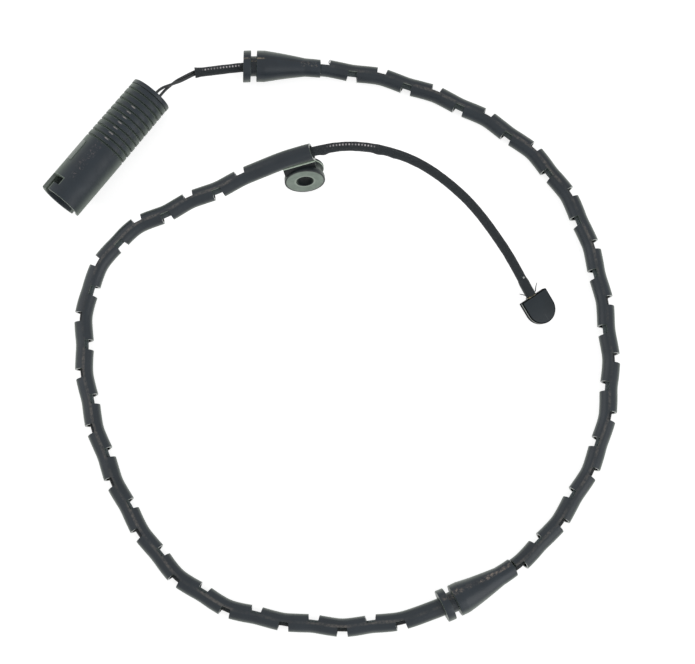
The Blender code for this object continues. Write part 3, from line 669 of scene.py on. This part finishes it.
CAMERA_HEIGHT = math.radians(77.0)
aim = Vector((0.0091, 0.0030, 0.0))
view = bpy.data.cameras.new("view")
view.lens = 103.6
view.sensor_width = 36.0
view.clip_start = 0.05
view.clip_end = 20.0
camera = bpy.data.objects.new("view", view)
camera.location = aim + Vector((0.0, -math.cos(CAMERA_HEIGHT), math.sin(CAMERA_HEIGHT)))
camera.rotation_euler = (math.radians(13.0), 0.0, 0.0)
bpy.context.collection.objects.link(camera)
bpy.context.scene.camera = camera

# --- connector's own axes: its mouth is at 0, and height and left are across it ---

CONNECTOR_ANGLE = math.radians(51.8)
connector = placed(
    Vector((-0.1351, 0.0677, 0.0114)),
    Vector((math.cos(CONNECTOR_ANGLE), math.sin(CONNECTOR_ANGLE), 0.0)),
)
connector_axis = connector.col[2].to_3d()


def in_connector(along, left=0.0, height=0.0):
    return connector @ Vector((left, height, along))


def connector_rings(profile, corners, left=0.0):
    """Rings of a profile in millimetres about the connector's axis, or about a line left of it."""
    return [
        ring(placed(in_connector(a * MM, left), connector_axis), r * MM, corners)
        for a, r in profile
    ]


# --- tip's own axes: along to its round end, across its width and out of its upper face ---

TIP_ANGLE = math.radians(-57.3)
TIP_DIP = math.radians(17.0)
TIP_ROLL = math.radians(11.5)
TIP_HALF = 7.65 * MM
TIP_LENGTH = 15.05 * MM
TUNNEL_MIDDLE = -0.5 * MM
tip_ahead = Vector((math.cos(TIP_ANGLE), math.sin(TIP_ANGLE), 0.0))
tip_level = Vector((-math.sin(TIP_ANGLE), math.cos(TIP_ANGLE), 0.0))
tip_along = tip_ahead * math.cos(TIP_DIP) - UP * math.sin(TIP_DIP)
tip_top = tip_along.cross(tip_level)
tip_across = tip_level * math.cos(TIP_ROLL) - tip_top * math.sin(TIP_ROLL)
tip_out = tip_level * math.sin(TIP_ROLL) + tip_top * math.cos(TIP_ROLL)
tip_place = Matrix((tip_along, tip_across, tip_out)).transposed().to_4x4()
tip_place.translation = Vector((0.10135, 0.01975, 0.00681))


def in_tip(along, across=0.0, out=0.0):
    return tip_place @ Vector((along, across, out))


def tip_marks(made, tone):
    """A faint mould line on the middle of the round end."""
    measures = []
    for direction in (tip_along, tip_across):
        start = tip_place.translation.dot(direction)
        reach = made.measure("DOT_PRODUCT", direction)
        measures.append(made.math("MULTIPLY_ADD", reach, 1 / MM, -start / MM))
    along, across = measures
    at_end = between(made, along, 10.6, 13.9, 0.4)
    line = times(made, at_end, near_line(made, across, 0.0, 0.10, 0.42), 0.8)
    return made.blend(line, tone, (0.024, 0.030, 0.036))


tip_finish = moulded_black(
    "tip_plastic", (0.0090, 0.0150, 0.0198), 0.42, specks=0.74, rim=0.3, gloss=0.32, marks=tip_marks
)


# --- braided sleeve ---


def sleeve_radius(s):
    """Flared where it was cut and a little uneven all along."""
    reach = SLEEVE_RADIUS
    if s < 4 * MM:
        reach += 0.45 * MM * (1 - s / (4 * MM)) ** 2
    return reach + 0.09 * MM * noise.noise(Vector((s * 260.0, 0.0, 3.0)))


def sleeve_lump(s, turn):
    """Soft lumps of the yarn, and three swellings on the right side past the hose's end."""
    lump = uneven(0.05 * MM, s * 700.0, turn, 1.7)
    for place, long, height in ((889.6, 1.9, 0.75), (917.5, 2.2, 0.40), (925.5, 1.8, 0.30)):
        off = (s - place * MM) / (long * MM)
        lump += height * MM * math.exp(-off * off) * max(0.0, -math.cos(turn)) ** 1.5
    return lump


# Rings close together where the sleeve is seen, and further apart under the hoses and grommets.
sleeve_stops = spread(0.0, 26 * MM, 0.6 * MM)
for s in UPPER_NOTCHES + LOWER_NOTCHES:
    sleeve_stops += spread(s - 3.2 * MM, s + 3.2 * MM, 0.8 * MM)
sleeve_stops += spread(428 * MM, 472 * MM, 4 * MM)
sleeve_stops += spread(852 * MM, 880 * MM, 3 * MM)
sleeve_stops += spread(882 * MM, SLEEVE_END, 0.6 * MM)
sleeve_stops = sorted(set(sleeve_stops))
sleeve_stops = [
    s for k, s in enumerate(sleeve_stops) if k == 0 or s - sleeve_stops[k - 1] > 0.3 * MM
]
inside_stops = sleeve_stops[::6]
if inside_stops[-1] != sleeve_stops[-1]:
    inside_stops.append(sleeve_stops[-1])
inside_stops.reverse()
sleeve_rings = []
for s in sleeve_stops:
    lumps = lambda turn, s=s: sleeve_lump(s, turn)
    sleeve_rings.append(ring(placed(on_route(s), heading(s)), sleeve_radius(s), 28, lumps))
for s in inside_stops:
    sleeve_rings.append(ring(placed(on_route(s), heading(s)), sleeve_radius(s) - SLEEVE_WALL, 28))
sleeve = skin(
    "sleeve_braid", sleeve_rings, [braid_finish], closed=True, stations=sleeve_stops + inside_stops,
    sharp=60.0,
)
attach(sleeve, "root")
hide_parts("braided_sleeve")

# --- the two wires, from the contacts to the tip ---

# Each wire's way through the connector, along and left of its axis in millimetres, and then its bare
# stretch, in metres.
wire_starts = {
    "wire_left": (
        [(45.6, 2.0), (50.2, 2.0), (53.7, 0.5), (57.4, -1.45), (66.0, -1.45), (74.3, -1.45, 0.1)],
        [
            (-0.0849, 0.1276, 0.0119), (-0.0817, 0.1289, 0.0120), (-0.0786, 0.1304, 0.0112),
            (-0.0756, 0.1319, 0.0103),
        ],
    ),
    "wire_right": (
        [(45.6, -2.0), (50.2, -2.0), (53.7, -3.0), (57.4, -3.95), (66.0, -3.95), (74.3, -3.95, -0.1)],
        [
            (-0.0839, 0.1266, 0.0106), (-0.0817, 0.1289, 0.0102), (-0.0790, 0.1313, 0.0101),
            (-0.0764, 0.1332, 0.0098),
        ],
    ),
}
wire_stops = [s * MM for s in (0.0, 3.0, 13.0)]
wire_stops += spread(UPPER_GROMMET_FACE, 1018.0 * MM, 11.0 * MM)
for name, side in (("wire_left", -1.0), ("wire_right", 1.0)):
    inside, bare = wire_starts[name]
    points = [in_connector(*(value * MM for value in place)) for place in inside] + bare
    points += [on_route(s) + left_of(s) * (side * WIRE_FROM_MIDDLE) for s in wire_stops]
    points += [
        in_tip(-1.6 * MM, side * 0.8 * MM + TUNNEL_MIDDLE),
        in_tip(2.6 * MM, side * 0.85 * MM + TUNNEL_MIDDLE),
    ]
    line = smooth_line(points, 5)
    lengths = distances(line)
    rings = [ring(m, WIRE_RADIUS, 12) for m in placed_along(line)]
    wire = skin(name + "_insulation", rings, [wire_finish], stations=lengths)
    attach(wire, "root")
    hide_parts(name)

# --- notched hoses ---


def loose_yarn(bm, points, thick):
    """A stray end of yarn that thins towards its tip."""
    line = smooth_line(points, 4)
    wide = [thick * (1.0 - 0.45 * k / (len(line) - 1)) for k in range(len(line))]
    places = placed_along(line, Vector((0.3, 0.2, 0.93)))
    skin_into(bm, [ring(m, w, 6) for m, w in zip(places, wide)])


def notch_side(k):
    """1 for a notch on the left, -1 for one on the right."""
    return 1.0 if k % 2 == 0 else -1.0


def zigzag(s, notches):
    """How far the hose leans left at a station: out to each notch in turn, with soft bends."""
    reach = notches[1] - notches[0]
    total = 0.0
    for shift in (-2.4, -1.2, 0.0, 1.2, 2.4):
        place = (s + shift * MM - notches[0]) / reach
        number = math.floor(place)
        ends = [notch_side(k) if 0 <= k < len(notches) else 0.0 for k in (number, number + 1)]
        total += ends[0] + (ends[1] - ends[0]) * (place - number)
    return total / 5 * 0.68 * MM


def hose_middle(s, notches):
    return on_route(s) + left_of(s) * zigzag(s, notches)


def notched_hose(name, node, start, end, notches, yarn=None, slant=0.0):
    """A hose along the lead with its notches cut out. yarn is a stray end that comes out of it, and slant
    sets the top of its end back."""
    stops = spread(start, end, 1.3 * MM)
    places = placed_along([hose_middle(s, notches) for s in stops])
    rings = []
    for s, place in zip(stops, places):
        swell = lambda turn, s=s: uneven(0.05 * MM, s * 130.0, turn, 1.0, 5.0)
        rings.append(ring(place, HOSE_RADIUS, 40, swell))
    rings += [ring(place, HOSE_BORE, 40) for place in reversed(places)]
    for corners in rings[len(places) - 1 : len(places) + 1]:
        for corner in corners:
            local = places[-1].inverted() @ corner
            corner -= heading(end) * (slant * local.y)
    finishes = [hose_finish, hose_cut_highlight_finish]
    hose = skin(name, rings, finishes, closed=True, stations=stops + stops[::-1])
    cuts = bmesh.new()
    for k, s in enumerate(notches):
        place = placed(hose_middle(s, notches), heading(s))
        before = 2.0 * MM if s - start < 4.0 * MM else 0.0
        after = 2.0 * MM if end - s < 4.0 * MM else 0.0
        lean = 0.18 * MM * noise.noise(Vector((s * 91.0, 0.5, 0.5)))
        for vert in bmesh.ops.create_cube(cuts, size=1.0)["verts"]:
            out = NOTCH_FLOOR if vert.co.x < 0 else NOTCH_MOUTH
            half = NOTCH_HALF + NOTCH_FLARE * (out - NOTCH_FLOOR)
            along = -half - before + lean if vert.co.z < 0 else half + after + lean
            vert.co = place @ Vector((notch_side(k) * out, vert.co.y * 14.0 * MM, along))
    # The notches' cut faces, and below them the hose's end faces, take the painted highlight finish.
    cut_or_join(hose, finished(name + "_cuts", cuts, finishes, use=1), "DIFFERENCE")
    for face in hose.data.polygons:
        for s in (start, end):
            faces_along = abs(face.normal.dot(heading(s))) > 0.93
            if faces_along and (face.center - on_route(s)).length < 6 * MM:
                face.material_index = 1
    if yarn:
        joined = bmesh.new()
        joined.from_mesh(hose.data)
        rubber = set(joined.faces)
        loose_yarn(joined, yarn, 0.28 * MM)
        for face in joined.faces:
            if face not in rubber:
                face.material_index = 2
        hose.data.materials.append(yarn_finish.material)
        joined.to_mesh(hose.data)
        joined.free()
    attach(hose, "root")
    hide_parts(node)


# A stray end of yarn comes out of the first notch.
first_end = [(0.0006, 0.1412, 0.0075), (-0.0004, 0.1427, 0.0083), (0.0004, 0.1440, 0.0087)]
notched_hose("hose_upper", "conduit_upper", *UPPER_HOSE, UPPER_NOTCHES, yarn=first_end)
notched_hose("hose_lower", "conduit_lower", *LOWER_HOSE, LOWER_NOTCHES, slant=0.24)

# --- grommets ---

# A profile's pairs are a distance along the piece and a radius, in millimetres.
GROMMET = [
    (0.0, 8.1), (3.9, 8.1), (3.9, 5.15), (6.8, 5.15), (6.8, 8.0), (10.9, 8.0), (31.5, 4.7), (39.5, 4.6),
]
GROMMET_LENGTH = 39.5
RIDGE_ABOVE = 4.65


def grommet(name, node, face, way, bore, finish, line_turn, shift, stiff):
    """Rings along the lead; shift moves the flange's end aside, stiff keeps the rings upright to the
    whole piece, and a low ridge runs along the body at line_turn."""
    profile = eased(GROMMET + bore, 0.35, 3, longest=2.0)
    stops = [face + way * d * MM for d, r in profile]
    shift = Vector(shift)
    whole = (on_route(face + way * GROMMET_LENGTH * MM) - on_route(face) - shift) * way
    rings = []
    for s, (d, r) in zip(stops, profile):
        middle = on_route(s) + shift * max(0.0, 1 - d / 12.0)
        facing = heading(s).lerp(whole.normalized(), stiff)
        ridge = 0.10 * MM if r > RIDGE_ABOVE else 0.0
        dent = lambda turn, s=s, ridge=ridge: (
            ridge * max(0.0, 1 - abs(turn - line_turn) / 0.09) + uneven(0.04 * MM, s * 150.0, turn, 1.5)
        )
        rings.append(ring(placed(middle, facing), r * MM, 72, dent))
    piece = skin(name, rings, [finish], closed=True, stations=stops)
    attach(piece, "root")
    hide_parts(node)


grommet(
    "grommet_by_connector", "grommet_upper", UPPER_GROMMET_FACE, 1.0, [(39.5, 2.65), (0.0, 2.65)],
    grommet_upper_finish, math.radians(68.0), (0.0, 0.0004, 0.0), 1.0,
)
grommet(
    "grommet_between_hoses", "grommet_lower", LOWER_GROMMET_FACE, -1.0,
    [(39.9, 2.65), (3.0, 2.65), (3.0, 4.75), (0.0, 4.75)],
    grommet_lower_finish, math.radians(110.0), (0.0, 0.0, 0.0), 0.5,
)

# --- connector ---

SHELL_RADIUS = 11.45
KEY_START = 18.5
KEY_END = 30.7
shell_finishes = [shell_finish, shell_highlight_finish]
shell_profile = [(0.0, 11.15), (0.25, SHELL_RADIUS)]
for k in range(RIBS):
    start = FIRST_RIB + RIB_STEP * k
    radius = SHELL_RADIUS - 0.03 * k
    shell_profile += [
        (start - 0.70, radius - 0.02),
        (start + 0.08, radius - 1.20),
        (start + 0.46, radius - 1.25),
        (start + 0.52, radius),
    ]
shell_profile += [(69.8, 11.0), (69.8, 8.2), (31.0, 8.2), (31.0, 9.6), (0.4, 9.6), (0.0, 9.85)]
shell_profile = eased(shell_profile, 0.07, 2, longest=6.0)
shell = skin(
    "connector_body", connector_rings(shell_profile, 96), shell_finishes, closed=True,
    stations=[a * MM for a, r in shell_profile],
)


def sector(steps, low, high):
    """A block bent about the connector's axis. Each step gives a turn in degrees from the top, and where
    the block starts and ends there; low and high are its radii."""
    rings = []
    for turn, start, end in steps:
        angle = math.radians(turn)
        corners = ((start, low), (end, low), (end, high), (start, high))
        rings.append(
            [in_connector(a * MM, r * MM * math.sin(angle), r * MM * math.cos(angle)) for a, r in corners]
        )
    bm = bmesh.new()
    skin_into(bm, rings)
    return bm


key = sector([(38 + 2 * k, KEY_START, KEY_END) for k in range(11)], 10.7, 11.9)
round_edges(key, 0.25 * MM)
cut_or_join(shell, finished("key_shape", key, shell_finishes), "UNION")
nub = sector([(t, 0.6, 2.6) for t in (126, 128, 130, 132, 134)], 10.7, 11.8)
cut_or_join(shell, finished("nub_shape", nub, shell_finishes), "UNION")
for half_turn in (0.0, 180.0):
    steps = [(t + half_turn, 4.5, 8.7) for t in (15, 19, 24, 28, 32)]
    steps += [(t + half_turn, -1.0, 8.7) for t in (32, 37, 42, 47, 52, 57, 62, 67, 72)]
    # The slots' walls take the painted highlight finish.
    slot_shape = finished("slot_shape", sector(steps, 8.6, 13.0), shell_finishes, use=1)
    cut_or_join(shell, slot_shape, "DIFFERENCE")
# The key's outer faces take the painted highlight finish.
for face in shell.data.polygons:
    local = connector.inverted() @ face.center
    turn = math.degrees(math.atan2(local.x, local.y))
    on_key = (KEY_START - 0.1) * MM < local.z < (KEY_END + 0.1) * MM and 37.5 < turn < 58.5
    if on_key and math.hypot(local.x, local.y) > 11.5 * MM:
        face.material_index = 1
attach(shell, "root")
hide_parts("connector_shell")

cap_profile = [(66.0, 7.9), (70.1, 7.9), (70.1, 11.22), (72.3, 11.22), (72.3, 5.2), (71.7, 4.9)]
cap_profile = eased(cap_profile, 0.3, 3, closed=False)
cap = skin("connector_back", connector_rings(cap_profile, 96), [cap_finish])
hole_rings = connector_rings([(65, 2.5), (74, 2.5)], 40, -2.7 * MM)
cut_or_join(cap, skin("hole_shape", hole_rings, [cap_finish]), "DIFFERENCE")
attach(cap, "root")
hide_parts("rear_cap")

contact_profile = [
    (15.0, 0.2), (15.3, 0.55), (15.9, 0.8), (44.4, 0.8), (44.4, 1.45), (49.4, 1.45), (49.4, 1.0),
    (45.2, 1.0),
]
contact_profile = eased(contact_profile, 0.15, 2, closed=False)
for name, side in (("terminal_left", 2.0), ("terminal_right", -2.0)):
    pin = skin(name + "_contact", connector_rings(contact_profile, 28, side * MM), [brass_finish])
    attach(pin, "root")
    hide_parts(name)

# --- bush under the end of the lower hose ---

BUSH_HANGS = 14.75 * MM
BUSH_AHEAD = 6.8 * MM
bush_axis = Vector((0.0972, -0.9641, 0.247)).normalized()
bush_up = Vector((-0.0240, 0.247, 0.969))
bush_up = (bush_up - bush_axis * bush_up.dot(bush_axis)).normalized()
bush_front = on_route(BUSH_STATION) - bush_up * BUSH_HANGS + bush_axis * BUSH_AHEAD
bush_profile = [
    (0.0, 10.2), (2.5, 10.2), (2.5, 8.6), (6.6, 8.6), (6.6, 10.2), (8.2, 10.2), (8.2, 4.5), (7.9, 4.2),
    (0.3, 4.2), (0.0, 4.5),
]
bush_rings = [
    ring(placed(bush_front - bush_axis * (d * MM), -bush_axis, bush_up), r * MM, 96)
    for d, r in eased(bush_profile, 0.3, 3)
]
bush_finishes = [bush_finish, bush_face_lit_finish, bush_highlight_finish, bush_shade_finish]
bush = skin("bush", bush_rings, bush_finishes, closed=True)
saddle = bmesh.new()
saddle_place = placed(on_route(BUSH_STATION), heading(BUSH_STATION), bush_up)
for vert in bmesh.ops.create_cube(saddle, size=1.0)["verts"]:
    across = -4.95 * MM if vert.co.x < 0 else 3.0 * MM
    height = -8.75 * MM if vert.co.y < 0 else -1.6 * MM
    along = SADDLE_START - BUSH_STATION if vert.co.z < 0 else LOWER_HOSE[1] - BUSH_STATION
    vert.co = saddle_place @ Vector((across, height, along))
round_edges(saddle, 0.3 * MM)
cut_or_join(bush, finished("saddle_shape", saddle, [bush_finish]), "UNION")
hollow = placed_along([on_route(s) for s in spread(860 * MM, 892 * MM, 2 * MM)])
hollow_shape = skin("hollow_shape", [ring(m, 4.55 * MM, 48) for m in hollow], [bush_finish])
cut_or_join(bush, hollow_shape, "DIFFERENCE")
# Painted light by faces: the front face takes the lighter face finish, the saddle's top rim and the back
# flange's front rim a painted highlight, and the saddle's side painted shade.
for face in bush.data.polygons:
    middle = face.center - bush_front
    ahead = middle.dot(bush_axis)
    local = saddle_place.inverted() @ face.center
    if abs(ahead) < 0.05 * MM and face.normal.dot(bush_axis) > 0.9:
        face.material_index = 1
    elif local.x < -3.9 * MM and local.y > -2.3 * MM:
        face.material_index = 2
    elif local.x < -4.6 * MM and face.normal.dot(saddle_place.col[0].to_3d()) < -0.9:
        face.material_index = 3
    elif -7.1 * MM < ahead < -6.55 * MM and middle.cross(bush_axis).length > 9.85 * MM:
        face.material_index = 2
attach(bush, "root")
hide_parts("mounting_bush")

# --- tip, its collar and resin ---

TIP_HALF_THICK = 2.0
TIP_BAND = (0.35, 1.15)
straight = TIP_LENGTH - TIP_HALF
outline = [(-0.15 * MM, -TIP_HALF), (straight, -TIP_HALF)]
for k in range(1, 32):
    t = math.pi * k / 32
    outline.append((straight + TIP_HALF * math.sin(t), -TIP_HALF * math.cos(t)))
outline += [(straight, TIP_HALF), (-0.15 * MM, TIP_HALF)]
levels = (-TIP_HALF_THICK, *TIP_BAND, TIP_HALF_THICK)
plate = bmesh.new()
skin_into(plate, [[in_tip(x, y, z * MM) for x, y in outline] for z in levels])
round_edges(plate, 0.45 * MM, 3)
tip = finished("tip_plate", plate, [tip_finish, tip_highlight_finish, tip_shade_finish])
tunnel = bmesh.new()
for vert in bmesh.ops.create_cube(tunnel, size=1.0)["verts"]:
    along = -1.0 * MM if vert.co.x < 0 else 10.5 * MM
    vert.co = in_tip(along, TUNNEL_MIDDLE + vert.co.y * 3.6 * MM, vert.co.z * 1.8 * MM)
cut_or_join(tip, finished("tunnel_shape", tunnel, [tip_finish]), "DIFFERENCE")
# The side's middle band takes a painted highlight, and the other side and bevel faces take painted shade.
for face in tip.data.polygons:
    height = (tip_place.inverted() @ face.center).z
    if abs(face.normal.dot(tip_out)) < 0.97:
        in_band = TIP_BAND[0] * MM < height < TIP_BAND[1] * MM
        face.material_index = 1 if in_band and face.normal.dot(tip_along) > -0.5 else 2
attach(tip, "root")
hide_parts("sensor_tip")

COLLAR_START = SLEEVE_END - 7.7 * MM
collar_profile = [(0.0, 2.45), (1.8, 2.68), (9.4, 2.62), (9.4, 2.42), (0.0, 2.38)]
collar_rings = []
for d, r in eased(collar_profile, 0.12, 3, longest=0.8):
    s = COLLAR_START + d * MM
    lumps = lambda turn, s=s: uneven(0.07 * MM, s * 400.0, turn, 1.5)
    collar_rings.append(ring(placed(on_route(s), heading(s)), r * MM, 40, lumps))
collar_bm = bmesh.new()
skin_into(collar_bm, collar_rings, True)
for stray_end in (
    [(-1.3, 2.2, 0.8), (-3.2, 3.6, 1.2), (-4.6, 5.3, 1.2)],
    [(-1.6, -2.7, 0.6), (-3.4, -4.4, 0.9), (-4.6, -5.9, 1.0)],
    [(-0.8, -2.8, 0.6), (-0.9, -4.1, 0.9), (-0.1, -4.4, 1.6)],
):
    loose_yarn(collar_bm, [in_tip(x * MM, y * MM, z * MM) for x, y, z in stray_end], 0.27 * MM)
collar = finished("tip_collar", collar_bm, [collar_finish])
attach(collar, "root")
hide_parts("end_collar")

resin_profile = [(-0.75, 2.3), (-0.15, 2.65), (-0.15, 1.8), (-0.75, 1.8)]
resin_rings = []
for d, r in eased(resin_profile, 0.15, 3, longest=0.5):
    lumps = lambda turn, d=d: uneven(0.16 * MM, d * 0.9, turn, 2.2)
    resin_rings.append(ring(placed(in_tip(d * MM, TUNNEL_MIDDLE), tip_along), r * MM, 40, lumps))
resin = skin("resin_bead", resin_rings, [resin_finish], closed=True)
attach(resin, "root")
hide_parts("tip_resin")

# --- hidden solids keep their shape and get their own finishes ---

for node, finish in (
    ("contact_carrier", carrier_finish),
    ("mating_seal", seal_finish),
    ("wire_seal", seal_finish),
    ("wear_loop", copper_finish),
):
    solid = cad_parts[node]
    solid.data.materials.clear()
    solid.data.materials.append(finish.material)

# --- floor, backdrop and light ---


def seen_directly(tree):
    """1 for what the camera sees, also as a reflection, and 0 for light that falls on matt faces."""
    paths = tree.nodes.new("ShaderNodeLightPath")
    seen = paths.outputs["Is Transmission Ray"]
    for kind in ("Is Glossy Ray", "Is Camera Ray"):
        larger = tree.nodes.new("ShaderNodeMath")
        larger.operation = "MAXIMUM"
        tree.links.new(paths.outputs[kind], larger.inputs[0])
        tree.links.new(seen, larger.inputs[1])
        seen = larger.outputs[0]
    return seen


floor_material = bpy.data.materials.new("paper")
floor_material.use_nodes = True
tree = floor_material.node_tree
tree.nodes.clear()
surface = tree.nodes.new("ShaderNodeOutputMaterial")
matt = new_node(tree, "ShaderNodeBsdfDiffuse", {"Color": (0.62, 0.62, 0.62, 1.0)})
glow = new_node(tree, "ShaderNodeEmission", {"Color": (1.0, 1.0, 1.0, 1.0), "Strength": 0.74})
no_glow = new_node(tree, "ShaderNodeEmission", {"Strength": 0.0})
choose = tree.nodes.new("ShaderNodeMixShader")
tree.links.new(seen_directly(tree), choose.inputs[0])
tree.links.new(no_glow.outputs[0], choose.inputs[1])
tree.links.new(glow.outputs[0], choose.inputs[2])
both = tree.nodes.new("ShaderNodeAddShader")
tree.links.new(matt.outputs[0], both.inputs[0])
tree.links.new(choose.outputs[0], both.inputs[1])
tree.links.new(both.outputs[0], surface.inputs["Surface"])

bm = bmesh.new()
bmesh.ops.create_grid(bm, x_segments=1, y_segments=1, size=6.0)
floor_mesh = bpy.data.meshes.new("floor")
bm.to_mesh(floor_mesh)
bm.free()
floor_mesh.materials.append(floor_material)
floor = bpy.data.objects.new("floor", floor_mesh)
bpy.context.collection.objects.link(floor)

world = bpy.data.worlds.new("studio")
world.use_nodes = True
bpy.context.scene.world = world
sky = world.node_tree
background = sky.nodes["Background"]
background.inputs["Color"].default_value = (1.0, 1.0, 1.0, 1.0)
level = new_node(sky, "ShaderNodeMapRange", {"To Min": 0.55, "To Max": 1.0})
sky.links.new(seen_directly(sky), level.inputs["Value"])
sky.links.new(level.outputs[0], background.inputs["Strength"])


def soft_lamp(name, place, power):
    """A square lamp of 1.2 m that faces the middle of the part."""
    lamp = bpy.data.lights.new(name, "AREA")
    lamp.shape = "SQUARE"
    lamp.size = 1.2
    lamp.energy = power
    holder = bpy.data.objects.new(name, lamp)
    holder.location = place
    holder.rotation_euler = (-Vector(place)).to_track_quat("-Z", "Y").to_euler()
    bpy.context.collection.objects.link(holder)


soft_lamp("near_lamp", (1.05, -0.72, 0.62), 7.0)
soft_lamp("far_lamp", (-1.15, 0.40, 0.70), 4.0)

bpy.context.scene.view_settings.view_transform = "Standard"
